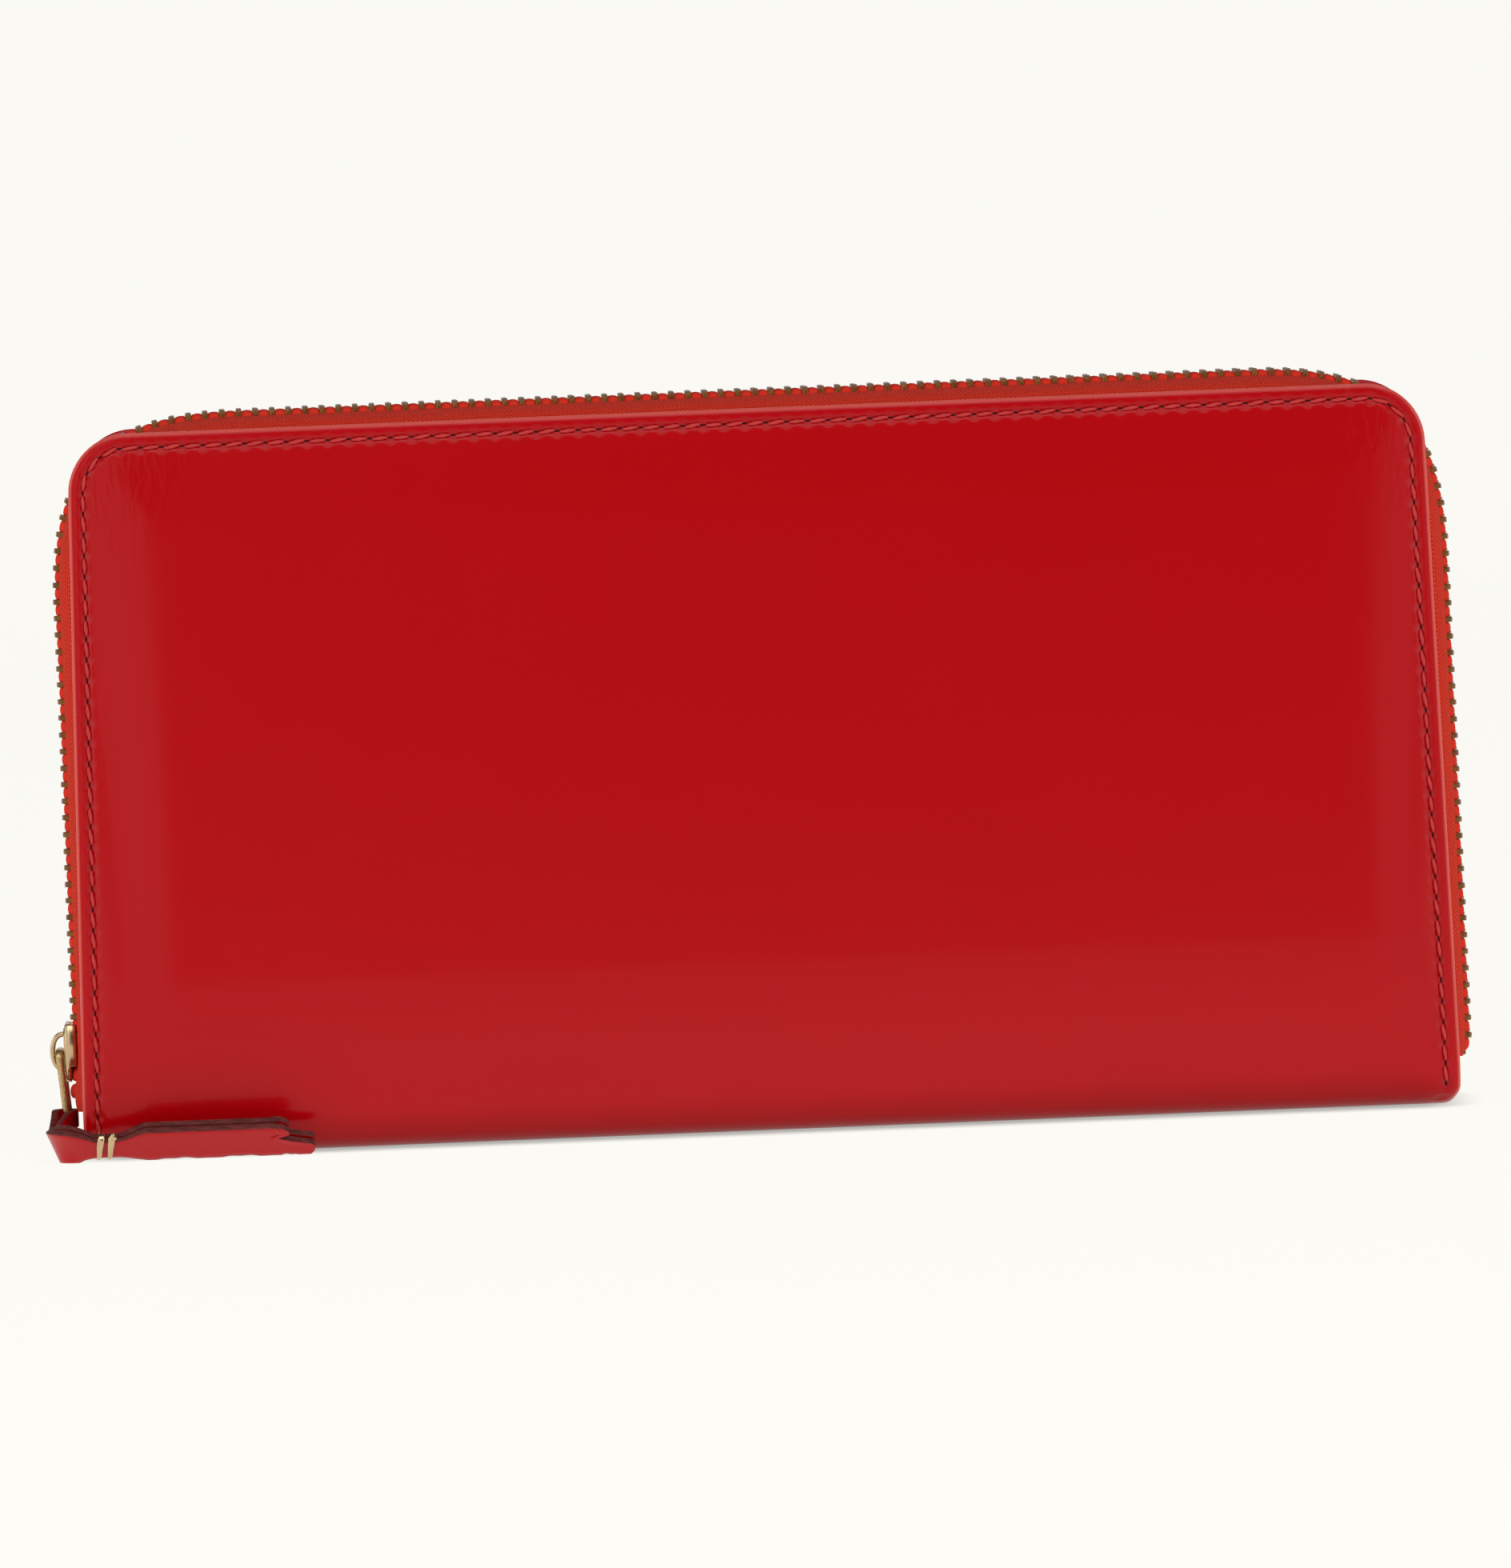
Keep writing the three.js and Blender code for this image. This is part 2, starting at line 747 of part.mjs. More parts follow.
// Flat wire wound round the strap's waist, one turn joined to the next across the front.
function pullBinding() {
  const start = turnEndX + wirePlace;
  const [front, back] = onStrap(waistThickness + 2 * wirePlay);
  const foot = waistFoot - wirePlay;
  const top = waistTop + wirePlay;
  const pieces = [];
  for (let i = 0; i < wireTurns; i++) {
    const x = start + i * wirePitch;
    const shape = new THREE.Shape();
    rectangleOn(shape, [front - wire, back + wire], [foot - wire, top + wire]);
    shape.holes.push(rectangleOn(new THREE.Path(), [front, back], [foot, top]));
    pieces.push(alongX(shape, [x, x + wireWidth]));
  }
  const link = [front - wire, front - 0.1];
  const middle = (foot + top) / 2;
  const end = start + (wireTurns - 1) * wirePitch;
  pieces.push(block([start + 0.2, end + 0.2], link, [middle - 0.6, middle + 0.6]));
  return joined(...pieces);
}

add("pull_tab", pullTab(), redLeather);
add("pull_binding", pullBinding(), brightBrass);

// ---------- coin pocket zip ----------

const coinRowFoot = coinTop + coinTapeRise + 0.3;
const coinRowTop = coinRowFoot + toothOut + rowBack + 0.1;
const coinChainHalf = coinHalf - coinChainInset;
const coinSliderStart = 0.3 - coinChainHalf - coinSliderLength / 2;
const coinPlateFoot = coinRowTop + sliderPlay;
const coinPlateTop = coinPlateFoot + 0.7;
const coinPivotHeight = coinPlateTop + ringPlay + coinPullPlate / 2;
const coinPivotX = coinSliderStart + coinSliderLength / 2;

function coinZipTape(side) {
  const outer = coinInside - glueLine;
  return block(
    [-coinChainHalf, coinChainHalf],
    depths(side, outer - coinTape, outer),
    [coinTop - coinTapeDepth, coinTop + coinTapeRise],
  );
}

function coinToothRow(side) {
  const start = coinSliderStart + coinSliderLength + 0.3;
  const shift = side === FRONT ? 0 : toothPitch / 2;
  const count = Math.floor((coinChainHalf - start - shift) / toothPitch);
  const points = [];
  for (let i = 0; i < count; i++) {
    const x = start + shift + i * toothPitch;
    points.push(new THREE.Vector2(x, coinRowTop - toothOut + cordOut));
    points.push(new THREE.Vector2(x, coinRowTop));
    points.push(new THREE.Vector2(x + toothLength, coinRowTop));
    points.push(new THREE.Vector2(x + toothLength, coinRowTop - toothOut + cordOut));
  }
  points.push(new THREE.Vector2(points.at(-1).x, coinRowFoot));
  points.push(new THREE.Vector2(start + shift, coinRowFoot));
  return standing(
    new THREE.Shape(points),
    depths(side, coinRowSplit, coinRowSplit + coinRowWidth),
  );
}

function coinSliderBody() {
  const length = [coinSliderStart, coinSliderStart + coinSliderLength];
  const half = coinRowSplit + coinRowWidth + sliderPlay;
  const lowerHalf = coinInside - glueLine - coinTape - 0.2;
  const lower = coinRowFoot - sliderPlay;
  const top = block(length, [-half, half], [coinPlateFoot, coinPlateTop]);
  const bottom = block(length, [-lowerHalf, lowerHalf], [lower - 0.7, lower]);
  const web = block(
    [coinSliderStart, coinSliderStart + 2],
    [-webThickness / 2, webThickness / 2],
    [lower - 0.1, coinPlateFoot + 0.1],
  );
  return joined(top, bottom, web);
}

function coinSliderBridge() {
  const shape = archShape(4.4, coinPullPlate + 2 * ringPlay + 0.2, 0.6);
  return standing(shape, [-0.6, 0.6]).translate(coinPivotX, 0, coinPlateTop + 0.02);
}

// A small flat pull with an eye for the bridge.
function coinPull() {
  const eye = 0.8;
  const half = coinPullWidth / 2;
  const shape = new THREE.Shape();
  shape.moveTo(-eye / 2, -half);
  shape.lineTo(coinPullLength - half, -half * 0.8);
  shape.absarc(coinPullLength - half, 0, half * 0.8, -Math.PI / 2, Math.PI / 2);
  shape.lineTo(-eye / 2, half);
  shape.closePath();
  shape.holes.push(rectangleOn(new THREE.Path(), [eye / 2, 3.4], [-0.9, 0.9]));
  const plate = lying(shape, [0, coinPullPlate]);
  return plate.translate(coinPivotX, 0, coinPivotHeight - coinPullPlate / 2);
}

for (const [word, side] of [["front", FRONT], ["back", BACK]]) {
  add(`coin_zip_${word}_tape`, coinZipTape(side), redTape);
  add(`coin_zip_${word}_teeth`, coinToothRow(side), agedBrass);
}
add("coin_slider_body", coinSliderBody(), brightBrass);
add("coin_slider_bridge", coinSliderBridge(), brightBrass);
add("coin_pull", coinPull(), brightBrass);

export default wallet;
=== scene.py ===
import math

import bmesh
import bpy
import numpy as np
from mathutils import Matrix, Vector


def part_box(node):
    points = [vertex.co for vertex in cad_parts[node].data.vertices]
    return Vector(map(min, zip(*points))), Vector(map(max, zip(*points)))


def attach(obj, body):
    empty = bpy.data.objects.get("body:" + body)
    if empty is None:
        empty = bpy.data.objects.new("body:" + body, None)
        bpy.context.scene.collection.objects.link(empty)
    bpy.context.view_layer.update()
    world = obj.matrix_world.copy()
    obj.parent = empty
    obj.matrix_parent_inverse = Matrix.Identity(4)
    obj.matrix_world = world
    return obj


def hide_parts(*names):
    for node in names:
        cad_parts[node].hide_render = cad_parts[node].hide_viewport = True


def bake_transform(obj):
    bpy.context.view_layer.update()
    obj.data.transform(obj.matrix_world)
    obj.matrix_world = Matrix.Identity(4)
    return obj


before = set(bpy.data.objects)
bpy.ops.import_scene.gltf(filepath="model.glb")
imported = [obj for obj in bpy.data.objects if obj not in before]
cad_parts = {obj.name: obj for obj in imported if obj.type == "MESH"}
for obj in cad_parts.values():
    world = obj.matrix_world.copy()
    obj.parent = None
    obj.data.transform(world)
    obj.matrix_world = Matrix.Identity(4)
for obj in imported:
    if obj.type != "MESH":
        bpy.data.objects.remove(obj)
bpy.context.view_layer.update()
bpy.context.scene.view_settings.view_transform = "Standard"

# ---------- outer hide ----------
# One sheet of glazed calf leather, 1.3 mm thick, folded round the spine to make both covers.
# Its edge is turned and rounded, a seam groove runs 2 mm inside it, and padding domes each cover.


def linear(code, alpha=1.0):
    """A colour written as six hex digits, as linear light."""
    parts = [int(code[i:i + 2], 16) / 255 for i in (0, 2, 4)]
    light = [p / 12.92 if p <= 0.04045 else ((p + 0.055) / 1.055) ** 2.4 for p in parts]
    return (*light, alpha)


def put(tree, kind, inputs=None, **settings):
    """Adds a node. An input given as a socket is linked, any other value is set."""
    made = tree.nodes.new(kind)
    for name, value in settings.items():
        setattr(made, name, value)
    for key, value in (inputs or {}).items():
        if isinstance(value, bpy.types.NodeSocket):
            tree.links.new(value, made.inputs[key])
        else:
            made.inputs[key].default_value = value
    return made


def calc(tree, operation, *values):
    """The result of one piece of arithmetic on sockets or numbers."""
    return put(tree, "ShaderNodeMath", dict(enumerate(values)), operation=operation).outputs[0]


def span(tree, value, low, high, start=0.0, end=1.0, kind="LINEAR"):
    """A value between low and high, carried over to start and end."""
    inputs = {"Value": value, "From Min": low, "From Max": high, "To Min": start, "To Max": end}
    return put(tree, "ShaderNodeMapRange", inputs, interpolation_type=kind).outputs["Result"]


def noise(tree, place, size_mm, detail):
    """Cloudy patches of a size, from 0 to 1."""
    inputs = {"Vector": place, "Scale": 1000 / size_mm, "Detail": detail}
    return put(tree, "ShaderNodeTexNoise", inputs).outputs["Fac"]


def new_finish(name, values):
    """A material with its shader's steady values set."""
    made = bpy.data.materials.new(name)
    made.use_nodes = True
    tree = made.node_tree
    shader = tree.nodes["Principled BSDF"]
    for key, value in values.items():
        shader.inputs[key].default_value = value
    return made, tree, shader


def tint(tree, shader, share, first, second):
    """Colours the finish between two tones by a share from 0 to 1, and gives the mixed colour's socket."""
    mixed = put(tree, "ShaderNodeMix", {0: share, 6: first, 7: second}, data_type="RGBA")
    tree.links.new(mixed.outputs[2], shader.inputs["Base Color"])
    return mixed.outputs[2]


def mottle(tree, shader, place, size_mm, dark, light, detail=4.0):
    """Colour that drifts between two tones over patches of a size. Gives the patches and the colour."""
    inputs = {"Vector": place, "Scale": 1000 / size_mm, "Detail": detail, "Roughness": 0.55}
    patches = put(tree, "ShaderNodeTexNoise", inputs).outputs["Fac"]
    return patches, tint(tree, shader, patches, linear(dark), linear(light))


def relief(tree, shader, layers):
    """Bumps on top of one another: (height socket, depth in mm)."""
    below = None
    for height, depth in layers:
        inputs = {"Height": height, "Distance": depth / 1000, "Strength": 1.0}
        if below is not None:
            inputs["Normal"] = below.outputs["Normal"]
        below = put(tree, "ShaderNodeBump", inputs)
    tree.links.new(below.outputs["Normal"], shader.inputs["Normal"])


def build(name, points, faces, finishes, slots=None, uv=None, sharp=None, values=None):
    """A mesh object from points in millimetres."""
    mesh = bpy.data.meshes.new(name)
    mesh.from_pydata((np.asarray(points, float) / 1000).tolist(), [], [list(map(int, f)) for f in faces])
    shape = bmesh.new()
    shape.from_mesh(mesh)
    bmesh.ops.recalc_face_normals(shape, faces=shape.faces)
    shape.to_mesh(mesh)
    shape.free()
    for finish in finishes:
        mesh.materials.append(finish)
    if slots is not None:
        mesh.polygons.foreach_set("material_index", np.asarray(slots, np.int32))
    mesh.shade_smooth()
    if sharp is not None:
        mesh.set_sharp_from_angle(angle=math.radians(sharp))
    if uv is not None:
        corner = np.zeros(len(mesh.loops), np.int32)
        mesh.loops.foreach_get("vertex_index", corner)
        layer = mesh.uv_layers.new(name="UVMap")
        layer.data.foreach_set("uv", np.asarray(uv, np.float32)[corner].ravel())
    for key, amounts in (values or {}).items():
        attribute = mesh.attributes.new(key, "FLOAT", "POINT")
        attribute.data.foreach_set("value", np.asarray(amounts, np.float32))
    mesh.update()
    made = bpy.data.objects.new(name, mesh)
    bpy.context.scene.collection.objects.link(made)
    return made


def sheet_grid(half, low, high, corner, insets, step):
    """Rings that follow a sheet's two sides and top, and a grid that fills them, on a plane."""
    straight = max(2, round((high - corner - low) / step))
    turn = 2 * max(2, round(corner * math.pi / 4 / step))
    top = max(2, round(2 * (half - corner) / step))
    angle = np.linspace(0, math.pi / 2, turn + 1)[:-1]
    up = np.linspace(low, high - corner, straight + 1)
    rings = []
    for inset in insets:
        radius = corner - inset
        rise = radius * np.sin(angle)
        run = radius * np.cos(angle)
        across = np.linspace(corner - half, half - corner, top + 1)[:-1]
        parts = [
            np.stack([np.full(straight, inset - half), up[:-1]], 1),
            np.stack([corner - half - run, high - corner + rise], 1),
            np.stack([across, np.full(top, high - inset)], 1),
            np.stack([half - corner + rise, high - corner + run], 1),
            np.stack([np.full(straight + 1, half - inset), up[::-1]], 1),
        ]
        rings.append(np.concatenate(parts))
    rings = np.array(rings)
    depth, count = rings.shape[:2]
    sides = straight + turn // 2
    width = top + turn
    first = (depth - 1) * count
    left = rings[-1][:sides + 1]
    ceiling = rings[-1][sides:sides + width + 1]
    right = rings[-1][::-1][:sides + 1]
    a = ((left[:, 1] - low) / (left[-1, 1] - low))[:, None, None]
    b = ((ceiling[:, 0] - ceiling[0, 0]) / (ceiling[-1, 0] - ceiling[0, 0]))[None, :, None]
    floor = left[0] + b[0] * (right[0] - left[0])
    corners = (1 - a) * ((1 - b) * left[0] + b * right[0]) + a * ((1 - b) * left[-1] + b * right[-1])
    fill = (1 - a) * floor[None] + a * ceiling[None] + (1 - b) * left[:, None] + b * right[:, None] - corners
    table = np.zeros((sides + 1, width + 1), int)
    inner = fill[:-1, 1:-1]
    table[:-1, 1:-1] = depth * count + np.arange(inner.shape[0] * inner.shape[1]).reshape(inner.shape[:2])
    table[:, 0] = first + np.arange(sides + 1)
    table[:, -1] = first + count - 1 - np.arange(sides + 1)
    table[-1] = first + sides + np.arange(width + 1)
    spots = np.concatenate([rings.reshape(-1, 2), inner.reshape(-1, 2)])
    k, i = np.meshgrid(np.arange(depth - 1), np.arange(count - 1), indexing="ij")
    base = (k * count + i).ravel()
    band = np.stack([base, base + count, base + count + 1, base + 1], 1)
    middle = np.stack([table[:-1, :-1], table[:-1, 1:], table[1:, 1:], table[1:, :-1]], -1).reshape(-1, 4)
    bottom = [n * count for n in range(depth)] + list(table[0, 1:-1])
    bottom += [n * count + count - 1 for n in range(depth - 1, -1, -1)]
    beyond = np.maximum(np.abs(spots[:, 0]) - (half - corner), 0)
    above = np.maximum(spots[:, 1] - (high - corner), 0)
    round_inset = corner - np.hypot(beyond, above)
    flat_inset = np.minimum(half - np.abs(spots[:, 0]), high - spots[:, 1])
    inset = np.where((beyond > 0) & (above > 0), round_inset, flat_inset)
    return {
        "spots": spots,
        "inset": inset,
        "faces": np.concatenate([band, middle]),
        "count": count,
        "loop": list(range(count)) + bottom[::-1][1:-1],
        "ring_index": np.append(np.tile(np.arange(count), depth), np.zeros(len(spots) - depth * count, int)),
        "ringed": depth * count,
    }


def close_sheet(grid, outer, inner):
    """Points and faces of a sheet with two faces and an edge, and which faces are its edge."""
    n = len(grid["spots"])
    face = grid["faces"]
    loop = np.array(grid["loop"])
    after = np.roll(loop, -1)
    wall = np.stack([loop, after, after + n, loop + n], 1)
    faces = np.concatenate([face, face[:, ::-1] + n, wall])
    edge = np.concatenate([np.zeros(2 * len(face), int), np.ones(len(wall), int)])
    return np.concatenate([outer, inner]), faces, edge


def edge_drop(inset, radius):
    """How far a rounded edge falls below the face, at a distance from the edge."""
    near = np.clip(1 - inset / radius, 0, 1)
    return radius * (1 - np.sqrt(1 - near ** 2))


def smooth(value, start, end):
    """0 before start, 1 after end, and a smooth step between."""
    share = np.clip((value - start) / (end - start), 0, 1)
    return share * share * (3 - 2 * share)


hide_half = 93.25
hide_reach = 108.42  # from the spine's middle line up to the top edge, along the sheet
hide_bend = 6.0
hide_thickness = 1.3
hide_corner = 8.0
seam_inset = 2.0
stitch_pitch = 2.85
flare = 0.87  # the covers are this much wider at the foot and narrower at the top


def widen(x, z):
    """Sideways place on the finished wallet, which is a little wider at its foot."""
    spread = flare * (1 - 2 * (np.clip(z, 6, 99) - 6) / 93)
    tuck = 1.5 * (1 - smooth(z, -0.9, 2.6))
    return x * (1 + (spread - tuck) / hide_half)


def on_hide(spots, out, side):
    """Place in space of a spot on the unrolled sheet, at a distance out of its surface."""
    along = spots[:, 1]
    turn = np.clip((along - hide_bend) / hide_bend, 0, math.pi / 2)
    y = np.minimum(along, hide_bend) + (hide_bend + out) * np.sin(turn)
    z = hide_bend - (hide_bend + out) * np.cos(turn)
    z += np.maximum(along - hide_bend * (1 + math.pi / 2), 0)
    return np.stack([widen(spots[:, 0], z), side * y, z], 1)


hide_insets = [0, 0.06, 0.18, 0.34, 0.5, 0.7, 1.0, 1.3, 1.55, 1.75, 1.9, 2.0, 2.1, 2.25, 2.45, 2.8, 3.3, 4.0]
hide_grid = sheet_grid(hide_half, 0, hide_reach, hide_corner, hide_insets, stitch_pitch / 3)
hide_seam_row = hide_insets.index(2.0)

red_leather, tree, shader = new_finish(
    "polished calf leather",
    {
        "Roughness": 0.29,
        "Specular IOR Level": 0.14,
        "Coat Weight": 0.16,
        "Coat Roughness": 0.13,
    },
)
# Deep even red with slight cloudiness, and a pale salmon highlight painted along the very edge.
# A fine grain, slow waves, creases at the corners and a pucker at each stitch break up the gloss.
place = put(tree, "ShaderNodeTexCoord").outputs["Object"]
even_red = mottle(tree, shader, place, 26, "ae0008", "b3000a")[1]
grain = put(tree, "ShaderNodeTexVoronoi", {"Vector": place, "Scale": 1000 / 0.55, "Randomness": 1.0})
waves = noise(tree, place, 17, 1.0)
fine = noise(tree, place, 1.6, 3.0)
ridged = put(tree, "ShaderNodeMapping", {"Vector": place, "Scale": (520, 520, 160)}).outputs[0]
inputs = {"Vector": ridged, "Scale": 1.0, "Detail": 2.0, "Distortion": 1.2}
creases = put(tree, "ShaderNodeTexNoise", inputs).outputs["Fac"]
crease_zone = put(tree, "ShaderNodeAttribute", attribute_name="crease").outputs["Fac"]
spot = put(tree, "ShaderNodeUVMap", uv_map="UVMap").outputs[0]
seam_place = put(tree, "ShaderNodeSeparateXYZ", {0: spot}).outputs
along_mm = calc(tree, "MULTIPLY", calc(tree, "PINGPONG", seam_place[0], 0.5), stitch_pitch)
off_seam = calc(tree, "SUBTRACT", seam_place[1], seam_inset)
# Painted highlight: the colour turns pale salmon within 0.5 mm of the hide's edge.
painted_edge_highlight = span(tree, seam_place[1], 0.15, 0.5, 0.6, 0.0, "SMOOTHSTEP")
tint(tree, shader, painted_edge_highlight, even_red, linear("ee6c60"))
gap = put(tree, "ShaderNodeCombineXYZ", {0: along_mm, 1: off_seam}).outputs[0]
reach = put(tree, "ShaderNodeVectorMath", {0: gap}, operation="LENGTH").outputs["Value"]
bumps = [
    (waves, 0.1),
    (calc(tree, "MULTIPLY", creases, crease_zone), 0.22),
    (span(tree, reach, 0.15, 1.25, kind="SMOOTHSTEP"), 0.22),
    (fine, 0.008),
    (grain.outputs["Distance"], 0.006),
]
relief(tree, shader, bumps)

hide_lines = {}
for side, word in ((-1, "front"), (1, "back")):
    spots = hide_grid["spots"]
    inset = hide_grid["inset"]
    count = hide_grid["count"]
    puff = 1 - (1 - np.clip((inset - 2.2) / 13, 0, 1)) ** 2.5
    rising = 1 - (1 - np.clip((spots[:, 1] - 11.5) / 19, 0, 1)) ** 2.4
    peak = 2.2 - 0.021 * np.clip(spots[:, 1] - 33, 0, 80)
    dome = peak * puff * rising * smooth(spots[:, 1], 9, 15)
    groove = 0.24 * np.exp(-(((inset - seam_inset) / 0.32) ** 2)) * smooth(spots[:, 1], 9, 12)
    outer = on_hide(spots, dome - groove - 0.55 * edge_drop(inset, 1.1), side)
    inner = on_hide(spots, dome - hide_thickness + 0.5 * edge_drop(inset, 0.62), side)
    seam_ring = outer[hide_seam_row * count:(hide_seam_row + 1) * count]
    ring_spots = spots[hide_seam_row * count:(hide_seam_row + 1) * count]
    travelled = np.concatenate([[0], np.cumsum(np.linalg.norm(np.diff(seam_ring, axis=0), axis=1))])
    begin = int(np.argmax(ring_spots[:, 1] >= 11.5))
    finish_at = count - 1 - begin
    stitches = round((travelled[finish_at] - travelled[begin]) / stitch_pitch)
    step = (travelled[finish_at] - travelled[begin]) / stitches
    u = (travelled - travelled[begin]) / step
    uv = np.stack([u[hide_grid["ring_index"]], inset], 1)
    uv[hide_grid["ringed"]:] = (0.5, 40)
    corner_gap = np.hypot(hide_half - 3 - np.abs(spots[:, 0]), hide_reach - 4 - spots[:, 1])
    foot_gap = np.hypot(hide_half - 4 - np.abs(spots[:, 0]), 1.4 * (spots[:, 1] - 16))
    crease = np.maximum(1 - smooth(corner_gap, 3, 17), 0.7 * (1 - smooth(foot_gap, 2, 13)))
    points, faces = close_sheet(hide_grid, outer, inner)[:2]
    leather = build(
        f"{word}_leather",
        points,
        faces,
        [red_leather],
        uv=np.concatenate([uv, np.tile((0.5, 40.0), (len(uv), 1))]),
        values={"crease": np.concatenate([crease, crease])},
    )
    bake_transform(leather)
    if side < 0:
        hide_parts("front_cover", "spine")
    else:
        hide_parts("back_cover")
    turn = np.clip((ring_spots[:, 1] - hide_bend) / hide_bend, 0, math.pi / 2)
    outward = np.stack([0 * turn, side * np.sin(turn), -np.cos(turn)], 1)
    hide_lines[word] = (seam_ring[begin:finish_at + 1], outward[begin:finish_at + 1], step)

# ---------- cover seams ----------
# Lockstitch in thick waxed red thread, 2 mm inside the hide's edge on three sides of each cover.
# Each stitch is a twisted strand that dips into an awl hole at both ends.


def headings(line):
    """Directions of length one along a line of points."""
    along = np.gradient(line, axis=0)
    return along / np.linalg.norm(along, axis=1, keepdims=True)


def tube(rings, count, closed=False):
    """Numbers of the points of a row of rings, and the faces between them."""
    table = np.arange(rings * count).reshape(rings, count)
    low = table if closed else table[:-1]
    high = np.roll(table, -1, 0) if closed else table[1:]
    return table, np.stack([low, np.roll(low, -1, 1), np.roll(high, -1, 1), high], -1).reshape(-1, 4)


def sweep(line, side_axis, up_axis, section, closed=False):
    """A section carried along a line. Section is (rings or 1, points, 2) in mm."""
    line = np.asarray(line, float)
    section = np.broadcast_to(section, (len(line), *np.shape(section)[-2:]))
    points = (
        line[:, None]
        + section[:, :, :1] * np.asarray(side_axis)[:, None]
        + section[:, :, 1:] * np.asarray(up_axis)[:, None]
    )
    table, faces = tube(*points.shape[:2], closed)
    faces = faces.tolist()
    if not closed:
        faces += [table[0][::-1].tolist(), table[-1].tolist()]
    return points.reshape(-1, 3), faces


def circle(count, radius=1.0):
    angle = np.linspace(0, 2 * math.pi, count, endpoint=False)
    return radius * np.stack([np.cos(angle), np.sin(angle)], 1)


def trim_line(points, start, end):
    """The part of a line of points between two distances from its first point."""
    travelled = np.concatenate([[0], np.cumsum(np.linalg.norm(np.diff(points[:, :3], axis=0), axis=1))])
    end = travelled[-1] + end if end <= 0 else end
    inside = travelled[(travelled > start + 1e-6) & (travelled < end - 1e-6)]
    stops = np.concatenate([[start], inside, [end]])
    return np.stack([np.interp(stops, travelled, points[:, i]) for i in range(points.shape[1])], 1)


def line_repeater():
    """Geometry nodes that set a part at an even pitch along lines, turned to each line's own frame."""
    tree = bpy.data.node_groups.new("repeat along lines", "GeometryNodeTree")
    sockets = [
        ("Lines", "NodeSocketGeometry"),
        ("Part", "NodeSocketObject"),
        ("Pitch", "NodeSocketFloat"),
        ("Lift", "NodeSocketFloat"),
        ("Slant", "NodeSocketFloat"),
        ("Wobble", "NodeSocketFloat"),
        ("Size Change", "NodeSocketFloat"),
        ("Seed", "NodeSocketInt"),
        ("Finish", "NodeSocketMaterial"),
    ]
    for name, kind in sockets:
        tree.interface.new_socket(name=name, in_out="INPUT", socket_type=kind)
    tree.interface.new_socket(name="Pieces", in_out="OUTPUT", socket_type="NodeSocketGeometry")
    given = put(tree, "NodeGroupInput").outputs
    curve = put(tree, "GeometryNodeMeshToCurve", {0: given["Lines"]})
    pitched = {"Curve": curve.outputs[0], "Length": given["Pitch"]}
    evened = put(tree, "GeometryNodeResampleCurve", pitched, mode="LENGTH")
    along = put(tree, "GeometryNodeInputNamedAttribute", {"Name": "along"}, data_type="FLOAT_VECTOR")
    out = put(tree, "GeometryNodeInputNamedAttribute", {"Name": "out"}, data_type="FLOAT_VECTOR")
    lifting = {0: out.outputs["Attribute"], "Scale": given["Lift"]}
    rise = put(tree, "ShaderNodeVectorMath", lifting, operation="SCALE")
    lifted = put(tree, "GeometryNodeSetPosition", {"Geometry": evened.outputs[0], "Offset": rise.outputs[0]})
    frame_turn = put(
        tree,
        "FunctionNodeAxesToRotation",
        {0: along.outputs["Attribute"], 1: out.outputs["Attribute"]},
        primary_axis="X",
        secondary_axis="Z",
    )
    swing = {2: calc(tree, "MULTIPLY", given["Wobble"], -1.0), 3: given["Wobble"], "Seed": given["Seed"]}
    shake = put(tree, "FunctionNodeRandomValue", swing)
    spin = put(tree, "ShaderNodeCombineXYZ", {2: calc(tree, "ADD", given["Slant"], shake.outputs[1])})
    spun = put(tree, "FunctionNodeEulerToRotation", {0: spin.outputs[0]})
    turns = {0: frame_turn.outputs[0], 1: spun.outputs[0]}
    turned = put(tree, "FunctionNodeRotateRotation", turns, rotation_space="LOCAL")
    part = put(tree, "GeometryNodeObjectInfo", {"Object": given["Part"]})
    small = calc(tree, "SUBTRACT", 1.0, given["Size Change"])
    size = put(tree, "FunctionNodeRandomValue", {2: small, 3: 1.0, "Seed": given["Seed"]})
    placed = put(
        tree,
        "GeometryNodeInstanceOnPoints",
        {
            "Points": lifted.outputs[0],
            "Instance": part.outputs["Geometry"],
            "Rotation": turned.outputs[0],
            "Scale": size.outputs[1],
        },
    )
    solid = put(tree, "GeometryNodeRealizeInstances", {0: placed.outputs[0]})
    dressed = put(tree, "GeometryNodeSetMaterial", {0: solid.outputs[0], "Material": given["Finish"]})
    put(tree, "NodeGroupOutput", {0: dressed.outputs[0]})
    return tree


repeater = line_repeater()


